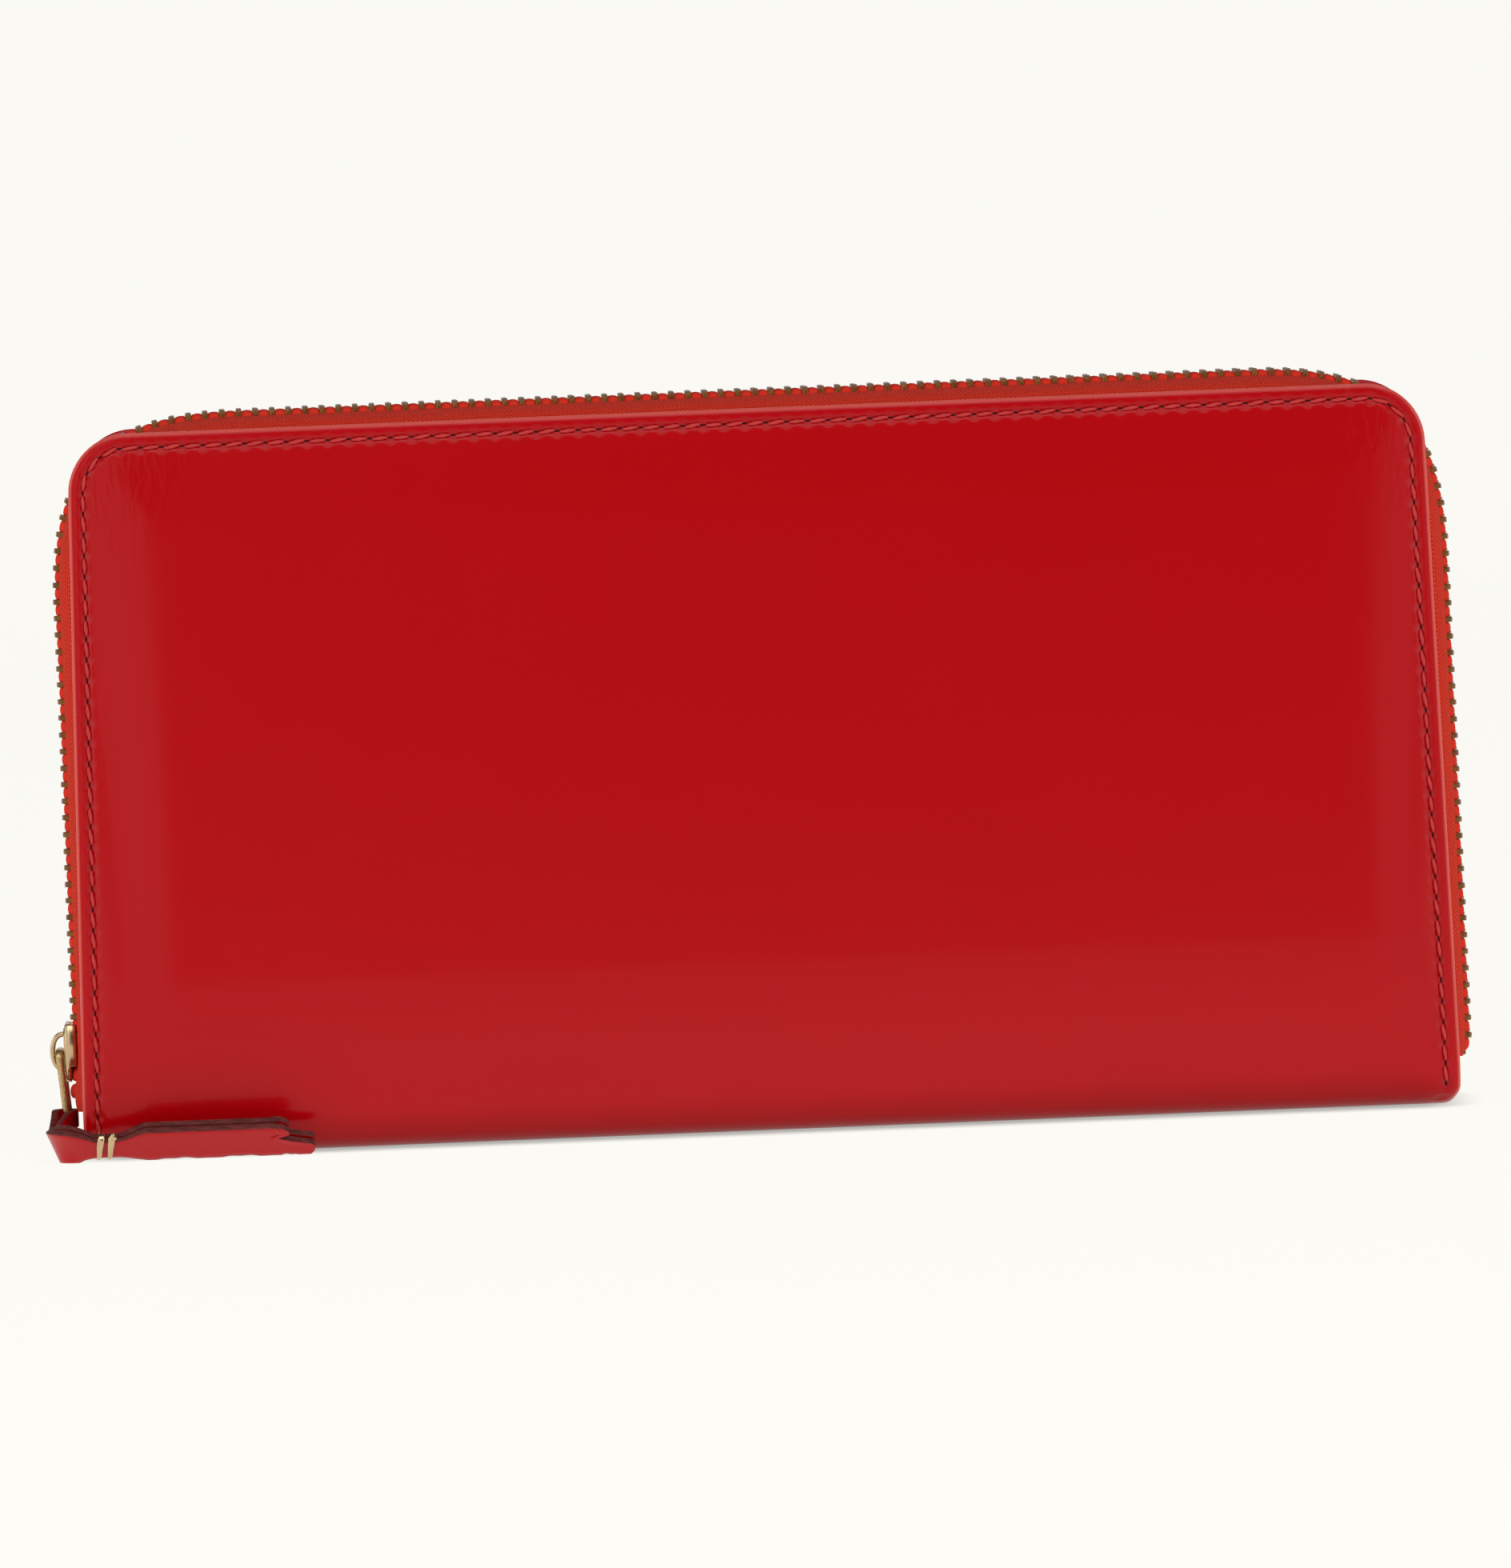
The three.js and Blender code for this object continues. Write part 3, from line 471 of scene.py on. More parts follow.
def repeat(name, lines, part, pitch, finish, lift=0.0, slant=0.0, wobble=0.0, change=0.0, seed=1):
    """Sets copies of a part along lines. Each line is (points, out vectors) in mm; the result is one mesh."""
    points = []
    edges = []
    along = []
    out = []
    for line, outward in lines:
        first = len(points)
        points.extend(line.tolist())
        edges.extend([(first + i, first + i + 1) for i in range(len(line) - 1)])
        along.extend(np.gradient(line, axis=0).tolist())
        out.extend(np.broadcast_to(outward, line.shape).tolist())
    mesh = bpy.data.meshes.new(name)
    mesh.from_pydata((np.array(points) / 1000).tolist(), edges, [])
    for key, vectors in (("along", along), ("out", out)):
        vectors = np.array(vectors, float)
        vectors /= np.linalg.norm(vectors, axis=1, keepdims=True)
        attribute = mesh.attributes.new(key, "FLOAT_VECTOR", "POINT")
        attribute.data.foreach_set("vector", vectors.astype(np.float32).ravel())
    made = bpy.data.objects.new(name, mesh)
    bpy.context.scene.collection.objects.link(made)
    modifier = made.modifiers.new("repeat", "NODES")
    modifier.node_group = repeater
    values = {
        "Part": part,
        "Pitch": pitch * 0.9999 / 1000,
        "Lift": lift / 1000,
        "Slant": math.radians(slant),
        "Wobble": math.radians(wobble),
        "Size Change": change,
        "Seed": seed,
        "Finish": finish,
    }
    for item in repeater.interface.items_tree:
        if item.name in values:
            modifier[item.identifier] = values[item.name]
    made.update_tag()
    bpy.context.view_layer.update()
    ready = made.evaluated_get(bpy.context.evaluated_depsgraph_get())
    plain = bpy.data.meshes.new_from_object(ready)
    made.modifiers.clear()
    made.data = plain
    plain.name = name
    plain.shade_smooth()
    return made


def thread_stitch(length, radius, rise):
    """One stitch along X: two strands twisted together, its ends bent down into the leather."""
    x = np.linspace(-length / 2, length / 2, 9)
    share = 2 * x / length
    line = np.stack([x, 0 * x, rise * (1 - 2.3 * share ** 4)], 1)
    angle = np.linspace(0, 2 * math.pi, 8, endpoint=False)
    taper = np.sqrt(np.clip(1.05 - share ** 6, 0.1, 1))
    size = radius * taper[:, None] * (1 + 0.16 * np.cos(2 * (angle[None] - 1.9 * x[:, None])))
    section = np.stack([size * np.cos(angle), size * np.sin(angle)], -1)
    return sweep(line, np.tile((0, 1, 0), (9, 1)), np.tile((0, 0, 1), (9, 1)), section)


def awl_hole(length, width):
    """A shallow pricked slit: a small dark oval with a raised middle."""
    ring = circle(10) * (length / 2, width / 2)
    rims = [np.c_[ring, np.full(10, -0.03)], np.c_[ring * 0.6, np.full(10, 0.02)]]
    points = np.concatenate([*rims, [[0, 0, 0.025]]])
    faces = [[i, (i + 1) % 10, 10 + (i + 1) % 10, 10 + i] for i in range(10)]
    faces += [[10 + i, 10 + (i + 1) % 10, 20] for i in range(10)]
    return points, faces


red_thread, tree, shader = new_finish(
    "waxed red thread", {"Roughness": 0.5, "Sheen Weight": 0.1, "Sheen Tint": linear("ff7a6a")}
)
# A lighter, more orange red than the leather, with fine fibres along the twist.
place = put(tree, "ShaderNodeTexCoord").outputs["Object"]
fibres = mottle(tree, shader, place, 0.7, "aa1419", "ce2d2c")[0]
relief(tree, shader, [(fibres, 0.08)])

hole_shadow, tree, shader = new_finish("painted awl hole shade", {"Roughness": 0.8, "Specular IOR Level": 0.15})
# Painted shade: the recess of an awl hole, shown as an almost black red disc.
place = put(tree, "ShaderNodeTexCoord").outputs["Object"]
mottle(tree, shader, place, 0.6, "2e0206", "4a060c")

stitch_part = build("stitch_part", *thread_stitch(2.45, 0.25, 0.12), [red_thread])
hole_part = build("hole_part", *awl_hole(0.95, 0.85), [hole_shadow])
for word, side in (("front", -1), ("back", 1)):
    line, outward, step = hide_lines[word]
    joined_line = np.c_[line, outward]
    shifted = trim_line(joined_line, step / 2, -step / 2)
    thread = repeat(
        f"{word}_seam_thread",
        [(shifted[:, :3], shifted[:, 3:])],
        stitch_part,
        step,
        red_thread,
        lift=0.14,
        slant=7,
        wobble=4,
        change=0.08,
        seed=11,
    )
    name = f"{word}_seam_holes"
    seam = [(line, outward)]
    holes = repeat(name, seam, hole_part, step, hole_shadow, lift=0.03, slant=24, wobble=8, seed=12)
    for piece in (thread, holes):
        start, end = (0, side * 0.012, 0.001), (0, side * 0.012, 0.010)
        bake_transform(piece)

# ---------- stiffening boards ----------
# A grey pulp board glued inside each cover, under the lining. These stay as the CAD cuts them.
grey_board, tree, shader = new_finish("grey pulp board", {"Roughness": 0.9, "Specular IOR Level": 0.2})
# Dull recycled grey with short fibres.
place = put(tree, "ShaderNodeTexCoord").outputs["Object"]
pulp = mottle(tree, shader, place, 1.5, "77746e", "96938b")[0]
relief(tree, shader, [(pulp, 0.05)])
for word in ("front", "back"):
    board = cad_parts[f"{word}_stiffener"]
    board.data.materials.clear()
    board.data.materials.append(grey_board)

# ---------- cover linings and spine lining ----------
# Dark red twill glued to the boards, its edge turned under. A narrow strip lines the spine.


def box_mm(name):
    """The two corners of a CAD node's box."""
    low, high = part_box(name)
    return np.array(low) * 1000, np.array(high) * 1000


def woven(tree, shader, warp_mm, dark, light, depth):
    """A twill weave in the X-Z plane: slanted ribs crossed by threads."""
    place = put(tree, "ShaderNodeTexCoord").outputs["Object"]
    scale = 1000 / warp_mm
    inputs = {"Vector": place, "Rotation": (0, 0.8, 0), "Scale": (scale, scale, scale)}
    turned = put(tree, "ShaderNodeMapping", inputs)
    rib = put(tree, "ShaderNodeTexWave", {"Vector": turned.outputs[0], "Scale": 0.32}, bands_direction="X")
    cross = put(tree, "ShaderNodeTexWave", {"Vector": turned.outputs[0], "Scale": 0.32}, bands_direction="Z")
    height = calc(tree, "MULTIPLY", rib.outputs["Fac"], cross.outputs["Fac"])
    tint(tree, shader, height, linear(dark), linear(light))
    relief(tree, shader, [(height, depth)])


def soft_panel(name, node, corner, finishes, round_edge=0.45, wave=0.0, seed=0):
    """A flat cloth or leather panel in the room of a CAD node, with rounded edges and a slight wave."""
    low, high = box_mm(node)
    half = (high[0] - low[0]) / 2
    middle = (low[1] + high[1]) / 2
    thick = (high[1] - low[1]) / 2
    insets = [0, 0.08, 0.2, 0.45, 1.0, min(1.8, corner * 0.8)]
    grid = sheet_grid(half, low[2], high[2], corner, insets, 2.4)
    spots, inset = grid["spots"], grid["inset"]
    drop = thick * 0.75 * edge_drop(inset, round_edge) / round_edge
    ripple = wave * np.sin(spots[:, 0] / 13 + seed) * np.sin(spots[:, 1] / 11 + 2 * seed)
    ripple = ripple * smooth(inset, 0, 9)
    front = np.stack([spots[:, 0], middle - thick + drop + ripple, spots[:, 1]], 1)
    rear = np.stack([spots[:, 0], middle + thick - drop + ripple, spots[:, 1]], 1)
    points, faces, edge = close_sheet(grid, front, rear)
    slots = np.minimum(edge, len(finishes) - 1)
    rim = grid["inset"][grid["faces"]].max(1) < 0.25
    count = len(grid["faces"])
    slots[:count][rim] = len(finishes) - 1
    slots[count:2 * count][rim] = len(finishes) - 1
    return build(name, points, faces, finishes, slots, uv=np.concatenate([spots, spots]))


twill_sheen = {"Roughness": 0.8, "Sheen Weight": 0.3, "Specular IOR Level": 0.25}
lining_cloth, tree, shader = new_finish("dark red twill", twill_sheen)
# A dull wine red cloth with a fine slanting rib.
woven(tree, shader, 0.55, "4d070d", "86131d", 0.06)
for word in ("front", "back"):
    cloth = soft_panel(f"{word}_lining_cloth", f"{word}_lining", 17, [lining_cloth])
    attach(cloth, f"{word}_cover")
    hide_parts(f"{word}_lining")
low, high = box_mm("spine_lining")
grid = sheet_grid((high[0] - low[0]) / 2, low[1], high[1], 2.5, [0, 0.1, 0.3, 0.8, 1.6], 2.0)
spots = grid["spots"]
drop = 0.2 * edge_drop(grid["inset"], 0.5)
top = np.stack([spots[:, 0], spots[:, 1], high[2] - drop], 1)
under = np.stack([spots[:, 0], spots[:, 1], low[2] + drop], 1)
points, faces = close_sheet(grid, top, under)[:2]
spine_cloth = build("spine_lining_cloth", points, faces, [lining_cloth])
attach(spine_cloth, "spine")
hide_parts("spine_lining")

# ---------- card slots and slip pocket ----------
# Four tiers of thin calf leather on the front cover, two cards wide, and a tall slip pocket on the back.
# Their mouths are cut, painted dark, and edged by a row of small stitches; a seam parts the two columns.
satin = {"Roughness": 0.38, "Coat Weight": 0.15, "Coat Roughness": 0.2}
inner_leather, tree, shader = new_finish("inner calf leather", satin)
# The same red, but satin rather than glazed.
place = put(tree, "ShaderNodeTexCoord").outputs["Object"]
mottle(tree, shader, place, 18, "9a0a12", "ad101a")
grain = put(tree, "ShaderNodeTexVoronoi", {"Vector": place, "Scale": 1000 / 0.7})
relief(tree, shader, [(grain.outputs["Distance"], 0.04)])

cut_edge, tree, shader = new_finish("painted cut edge", {"Roughness": 0.6})
# Burgundy edge paint over leather fibres that run along the cut.
place = put(tree, "ShaderNodeTexCoord").outputs["Object"]
stretched = put(tree, "ShaderNodeMapping", {"Vector": place, "Scale": (900, 2600, 2600)})
fibres = noise(tree, stretched.outputs[0], 1000, 3.0)
tint(tree, shader, fibres, linear("4e1216"), linear("a04a45"))
relief(tree, shader, [(fibres, 0.12)])

small_stitch = build("small_stitch_part", *thread_stitch(1.85, 0.2, 0.1), [red_thread])


def small_seam(name, lines, out, seed):
    """Small stitches along straight lines. Each line is its two ends, and a number of points if not 24."""
    seams = [(np.linspace(*line) if len(line) > 2 else np.linspace(*line, 24), out) for line in lines]
    return repeat(name, seams, small_stitch, 2.1, red_thread, lift=0.06, slant=4, wobble=2, seed=seed)


for number in range(1, 5):
    node = f"card_tier_{number}"
    tier = soft_panel(f"{node}_leather", node, 2.2, [inner_leather, cut_edge], wave=0.05, seed=number)
    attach(tier, "front_cover")
    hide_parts(node)
    low, high = box_mm(node)
    face = high[1]
    lines = [
        ((low[0] + 3, face, high[2] - 1.6), (high[0] - 3, face, high[2] - 1.6)),
        ((0, face, high[2] - 13.2), (0, face, high[2] - 1.6), 8),
    ]
    tier_seam = small_seam(f"{node}_seam", lines, (0, 1, 0), 20 + number)
    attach(tier_seam, "front_cover")

pocket = soft_panel("slip_pocket_leather", "slip_pocket", 2.2, [inner_leather, cut_edge], wave=0.08, seed=7)
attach(pocket, "back_cover")
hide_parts("slip_pocket")
low, high = box_mm("slip_pocket")
lines = [((low[0] + 3, low[1], high[2] - 1.6), (high[0] - 3, low[1], high[2] - 1.6))]
pocket_seam = small_seam("slip_pocket_seam", lines, (0, -1, 0), 31)
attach(pocket_seam, "back_cover")

# ---------- coin pocket ----------
# Two leather walls with a narrow strip sewn between them at the sides and bottom. It stands on the spine.
for word, side in (("front", -1), ("back", 1)):
    node = f"coin_pocket_{word}_wall"
    wall = soft_panel(f"{node}_leather", node, 2.2, [inner_leather, cut_edge], wave=0.05, seed=3 + side)
    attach(wall, "spine")
    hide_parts(node)
    low, high = box_mm(node)
    face = low[1] if side < 0 else high[1]
    left, right = low[0] + 1.5, high[0] - 1.5
    lines = [
        ((left, face, low[2] + 4), (left, face, high[2] - 3)),
        ((right, face, low[2] + 4), (right, face, high[2] - 3)),
        ((left + 2, face, high[2] - 1.5), (right - 2, face, high[2] - 1.5)),
    ]
    wall_seam = small_seam(f"{node}_seam", lines, (0, side, 0), 41)
    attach(wall_seam, "spine")

low, high = box_mm("coin_pocket_gusset")
left, right, foot = low[0] + 2.3, high[0] - 2.3, low[2] + 2.3
turns = np.linspace(0.2, 1.4, 5)
line = [(left - 2, 0, z) for z in np.linspace(high[2], foot, 24)]
line += [(left - 2 * math.cos(t), 0, foot - 2 * math.sin(t)) for t in turns]
line += [(x, 0, foot - 2) for x in np.linspace(left, right, 40)]
line += [(right + 2 * math.sin(t), 0, foot - 2 * math.cos(t)) for t in turns]
line += [(right + 2, 0, z) for z in np.linspace(foot, high[2], 24)]
line = np.array(line)
across = np.tile((0.0, 1.0, 0.0), (len(line), 1))
inward = np.cross(headings(line), across)
reach = (high[1] - low[1]) / 2
top = [(y, 0.27 - 0.12 * (y / reach) ** 2) for y in np.linspace(-reach, reach, 7)]
section = np.array(top + [(y, -0.27) for y in np.linspace(reach, -reach, 7)])
points, faces = sweep(line, across, inward, section)
strip = build("coin_pocket_strip", points, faces, [inner_leather], sharp=50)
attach(strip, "spine")
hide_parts("coin_pocket_gusset")

# ---------- bill compartment gussets ----------
# A pleat of lining cloth at each end of the two bill compartments, sewn to the coin pocket and to the cover.
# Its fold points inward.
for word, side in (("front", -1), ("back", 1)):
    for end, hand in ((-1, "left"), (1, "right")):
        node = f"{word}_{hand}_bill_gusset"
        low, high = box_mm(node)
        outer_x = max(abs(low[0]), abs(high[0]))
        fold_x = min(abs(low[0]), abs(high[0])) + 0.2
        near = min(abs(low[1]), abs(high[1])) + 0.2
        far = max(abs(low[1]), abs(high[1])) - 0.2
        middle = (near + far) / 2
        bend = (far - near) / 2
        leg = np.linspace(outer_x, fold_x + 2.2, 14)
        share = (outer_x - leg) / (outer_x - fold_x)
        angle = np.linspace(0, math.pi, 7)[1:-1]
        plan_x = np.concatenate([leg, fold_x + 0.35 * (1 - np.sin(angle)) + 0.1, leg[::-1]])
        near_y = near + (bend - 0.32) * share ** 1.3
        far_y = far - (bend - 0.32) * share ** 1.3
        plan_y = np.concatenate([near_y, middle - 0.3 * np.cos(angle), far_y[::-1]])
        line = np.stack([end * plan_x, side * plan_y], 1)
        along = headings(line)
        normal = np.stack([-along[:, 1], along[:, 0]], 1)
        height = np.linspace(low[2], high[2], 30)
        sheets = []
        for sign in (-0.18, 0.18):
            flat = line + sign * normal
            sheets.append(np.stack([np.column_stack([flat, np.full(len(flat), z)]) for z in height], 0))
        ring = np.concatenate([sheets[0], sheets[1][:, ::-1]], 1)
        count = ring.shape[1]
        table, faces = tube(*ring.shape[:2])
        faces = faces.tolist()
        for i in range(count // 2 - 1):
            across, beside = count - 1 - i, count - 2 - i
            faces.append(table[0, [i, across, beside, i + 1]].tolist())
            faces.append(table[-1, [i, i + 1, beside, across]].tolist())
        pleat = build(f"{node}_cloth", ring.reshape(-1, 3), faces, [lining_cloth], sharp=60)
        start, end = (0, side * near / 1000, 0), (0, side * far / 1000, 0)
        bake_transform(pleat)
        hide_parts(node)

# ---------- zip tape ----------
# Woven red cotton tape, one half along each cover, from under the leather's edge up to the corded edge.


def chain_line(step=0.9):
    """The zip's line up the left, over the top and down the right: places, outward ways and distances."""
    def curve(*corner):
        t = np.linspace(0, 1, 120)[:, None]
        p = np.array(corner, float)
        if len(p) == 3:
            return (1 - t) ** 2 * p[0] + 2 * t * (1 - t) * p[1] + t * t * p[2]
        return (1 - t) ** 3 * p[0] + 3 * t * (1 - t) ** 2 * p[1] + 3 * t * t * (1 - t) * p[2] + t ** 3 * p[3]

    side, top, reach, pull, foot, rise, tuck = 94.5, 100.25, 24.6, 18.1, 6.4, 3.6, 0.4
    bend = top - reach
    left = [
        curve((tuck - side, foot), (-side, foot + rise / 2), (-side, foot + rise)),
        curve((-side, bend), (-side, bend + pull), (reach - pull - side, top), (reach - side, top)),
    ]
    half = np.concatenate(left)
    whole = np.concatenate([half, half[::-1] * (-1, 1)])
    travelled = np.concatenate([[0], np.cumsum(np.hypot(*np.diff(whole, axis=0).T))])
    keep = np.concatenate([[True], np.diff(travelled) > 1e-6])
    whole, travelled = whole[keep], travelled[keep]
    stops = np.linspace(0, travelled[-1], round(travelled[-1] / step) + 1)
    place = np.stack([np.interp(stops, travelled, whole[:, i]) for i in range(2)], 1)
    high = (np.clip(place[:, 1], 6, 99) - 6) / 93
    place[:, 0] += np.where(place[:, 0] < 0, 0.15 - 0.35 * np.abs(0.6 - high), 0.6 - 0.9 * high)
    place[:, 0] -= 0.8 * (1 - smooth(place[:, 1], 7, 14)) * (place[:, 0] < 0)
    along = headings(place)
    flat = np.zeros(len(place))
    outward = np.stack([-along[:, 1], flat, along[:, 0]], 1)
    return np.stack([place[:, 0], flat, place[:, 1]], 1), outward, stops


chain, chain_out, chain_stops = chain_line()
zip_tape, tree, shader = new_finish("woven cotton tape", {"Roughness": 0.85, "Specular IOR Level": 0.08})
# Bright warm red in a herringbone: short slanted floats that turn every 1.1 mm across the tape.
cloth_place = put(tree, "ShaderNodeUVMap", uv_map="UVMap").outputs[0]
split = put(tree, "ShaderNodeSeparateXYZ", {0: cloth_place}).outputs
shear = calc(tree, "ADD", split[0], calc(tree, "PINGPONG", split[1], 1.1))
float_height = calc(tree, "SINE", calc(tree, "MULTIPLY", shear, 2 * math.pi / 0.62))
weft_height = calc(tree, "SINE", calc(tree, "MULTIPLY", split[1], 2 * math.pi / 0.36))
cloth_height = span(tree, calc(tree, "ADD", float_height, weft_height), -2.0, 2.0)
tint(tree, shader, cloth_height, linear("b41a0e"), linear("ff4a34"))
relief(tree, shader, [(cloth_height, 0.2)])

for word, side in (("front", -1), ("back", 1)):
    arch = [(3.8 + 6.55 * math.cos(t), -2.2 * (1 - math.sin(t))) for t in np.linspace(math.pi / 2, 0, 9)]
    middle = np.array([(2.55, 0.0), (3.2, 0.0)] + arch + [(10.35, -3.4), (10.35, -4.4), (10.35, -5.5)])
    way = headings(middle)
    normal = np.stack([-way[:, 1], way[:, 0]], 1)
    section = np.concatenate([middle + 0.25 * normal, (middle - 0.25 * normal)[::-1]])
    across = np.concatenate([[0], np.cumsum(np.hypot(*np.diff(middle, axis=0).T))])
    section = section * (side, 1)
    points, faces = sweep(chain, np.tile((0, 1, 0), (len(chain), 1)), chain_out, section)
    uv = np.stack(np.broadcast_arrays(chain_stops[:, None], np.concatenate([across, across[::-1]])[None]), -1)
    tape = build(f"{word}_tape_cloth", points, faces, [zip_tape], uv=uv.reshape(-1, 2), sharp=70)
    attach(tape, f"{word}_cover")
    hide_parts(f"{word}_zip_tape")

# ---------- zip teeth ----------
# Cast antique brass teeth clamped on each tape's corded edge; the two rows alternate and their heads mesh.


def plate(outline, low, high, bevel):
    """A flat piece with its rims rounded over: an outline in two axes, between two heights of the third."""
    outline = np.asarray(outline, float)

    def pulled(points, amount):
        before = points - np.roll(points, 1, 0)
        after = np.roll(points, -1, 0) - points
        before /= np.linalg.norm(before, axis=1, keepdims=True)
        after /= np.linalg.norm(after, axis=1, keepdims=True)
        n1 = np.stack([-before[:, 1], before[:, 0]], 1)
        n2 = np.stack([-after[:, 1], after[:, 0]], 1)
        middle = n1 + n2
        middle /= np.maximum((middle * n1).sum(1, keepdims=True), 0.35)
        return points + amount * middle

    steps = [(bevel, low), (0.3 * bevel, low + 0.3 * bevel), (0, low + bevel)]
    steps += [(0, high - bevel), (0.3 * bevel, high - 0.3 * bevel), (bevel, high)]
    count = len(outline)
    rings = [np.c_[pulled(outline, amount), np.full(count, level)] for amount, level in steps]
    table, faces = tube(len(rings), count)
    return np.concatenate(rings), faces.tolist() + [table[0][::-1].tolist(), table[-1].tolist()]


antique_brass, tree, shader = new_finish("antique brass", {"Metallic": 1.0, "Roughness": 0.38})
# Dark brown patina in patches, with worn warm metal between them.
place = put(tree, "ShaderNodeTexCoord").outputs["Object"]
mottle(tree, shader, place, 1.3, "583420", "a06c3a")
relief(tree, shader, [(noise(tree, place, 0.35, 2.0), 0.05)])

tooth_outline = [
    (-3.05, -0.75), (-2.5, -0.95), (-1.6, -0.8), (-0.6, -0.5), (0.55, -0.4), (0.95, 0.05),
    (0.8, 0.55), (0.1, 0.75), (-0.7, 0.85), (-1.4, 1.1), (-2.3, 1.25), (-2.95, 1.0), (-3.1, 0.4),
]
points, faces = plate(tooth_outline, -0.36, 0.36, 0.1)
tooth_part = build("tooth_part", points[:, [2, 0, 1]], faces, [antique_brass], sharp=45)
tooth_pitch = 2.28
cord_angle = np.linspace(0, math.pi, 7)
bead = [(-1.06 * math.cos(t), 0.98 * math.sin(t) ** 0.6) for t in cord_angle]
spin = circle(8)
rings = [np.c_[np.full(8, x), 0.8 * r * spin[:, 0], r * spin[:, 1]] for x, r in bead[1:-1]]
table, faces = tube(5, 8)
faces = faces[:, ::-1].tolist() + [table[0].tolist(), table[-1][::-1].tolist()]
bead_part = build("bead_part", np.concatenate(rings), faces, [zip_tape])
lowest = 18.6 - 6.4
for word, side in (("front", -1), ("back", 1)):
    lift_off = 0 if side < 0 else 3.2 + tooth_pitch / 2
    from_start = lowest + lift_off + 0.55
    length = tooth_pitch * math.floor((chain_stops[-1] - 2.6 - from_start) / tooth_pitch)
    carried = np.c_[chain, chain_out]
    row = trim_line(carried, from_start, from_start + length)
    if side > 0:
        row = row[::-1]
    lines = [(row[:, :3], row[:, 3:])]
    teeth = repeat(f"{word}_row_of_teeth", lines, tooth_part, tooth_pitch, antique_brass, wobble=1.5, seed=51)
    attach(teeth, f"{word}_cover")
    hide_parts(f"{word}_zip_teeth")
    cord = trim_line(carried, 1.6, -1.4)
    cord[:, 1] = side * 2.35
    start = (from_start - 1.6 - tooth_pitch / 2) % tooth_pitch
    length = tooth_pitch * math.floor((chain_stops[-1] - 3.0 - start) / tooth_pitch)
    cord = trim_line(cord, start, start + length)
    lines = [(cord[:, :3], cord[:, 3:])]
    beads = repeat(f"{word}_corded_edge", lines, bead_part, tooth_pitch, zip_tape, seed=52)
    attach(beads, f"{word}_cover")

# ---------- zip stops and end tab ----------
# Small brass blocks pinched on the tape's two ends. The tape's end is turned down and sewn to the spine.
stops = (("front_top_stop", "front_cover"), ("back_top_stop", "back_cover"), ("zip_bottom_stop", "spine"))
for node, body in stops:
    low, high = box_mm(node)
    ends = [(low[1], low[2]), (high[1], low[2]), (high[1], high[2]), (low[1], high[2])]
    points, faces = plate(ends, low[0], high[0], 0.12)
    stop = build(f"{node}_brass", points[:, [2, 0, 1]], faces, [antique_brass], sharp=45)
    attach(stop, body)
    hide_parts(node)
low, high = box_mm("zip_end_tab")
rows = np.linspace(low[2], high[2], 8)
line = np.array([((low[0] + high[0]) / 2 - 0.9 - 0.12 * math.sin((z - low[2]) * 1.2), 0, z) for z in rows])
section = np.array([(-2.4, -0.22), (0, -0.28), (2.4, -0.22), (2.4, 0.22), (0, 0.28), (-2.4, 0.22)])
points, faces = sweep(line, np.tile((0, 1, 0), (8, 1)), np.tile((1, 0, 0), (8, 1)), section)
uv = np.stack([points[:, 2], points[:, 1]], 1)
end_cloth = build("zip_end_cloth", points, faces, [zip_tape], uv=uv, sharp=60)
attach(end_cloth, "spine")
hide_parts("zip_end_tab")

# ---------- slider ----------
# Polished brass slider: two shaped plates joined by a web, with rims that hold the tapes and a raised face.


def merge(*parts):
    """Several closed shapes as one list of points and one of faces."""
    points = []
    faces = []
    for part_points, part_faces in parts:
        first = sum(len(p) for p in points)
        points.append(np.asarray(part_points, float))
        faces += [[int(i) + first for i in face] for face in part_faces]
    return np.concatenate(points), faces


def rounded_block(low, high, bevel):
    """A block with rounded rims on its two X faces and its four long edges."""
    (x0, y0, z0), (x1, y1, z1) = low, high
    r = bevel
    outline = [(y0 + r, z0), (y1 - r, z0), (y1, z0 + r), (y1, z1 - r)]
    outline += [(y1 - r, z1), (y0 + r, z1), (y0, z1 - r), (y0, z0 + r)]
    points, faces = plate(outline, x0, x1, bevel)
    return points[:, [2, 0, 1]], faces


def rounded_section(width, height, radius):
    """A rectangle with rounded corners, as a section to sweep."""
    corners = []
    for quarter, (cx, cy) in enumerate(((1, 1), (-1, 1), (-1, -1), (1, -1))):
        for turn in (0.0, 0.5, 1.0):
            angle = (quarter + turn) * math.pi / 2
            x = cx * (width / 2 - radius) + radius * math.cos(angle)
            y = cy * (height / 2 - radius) + radius * math.sin(angle)
            corners.append((x, y))
    return np.array(corners)


bright_brass, tree, shader = new_finish("polished brass", {"Metallic": 1.0, "Roughness": 0.2})
# Pale warm gold with faint polishing scratches and a little tarnish.
place = put(tree, "ShaderNodeTexCoord").outputs["Object"]
mottle(tree, shader, place, 2.5, "b5936a", "dcc39b")
drawn = put(tree, "ShaderNodeMapping", {"Vector": place, "Scale": (5000, 5000, 400)})
relief(tree, shader, [(noise(tree, drawn.outputs[0], 1000, 2.0), 0.012)])

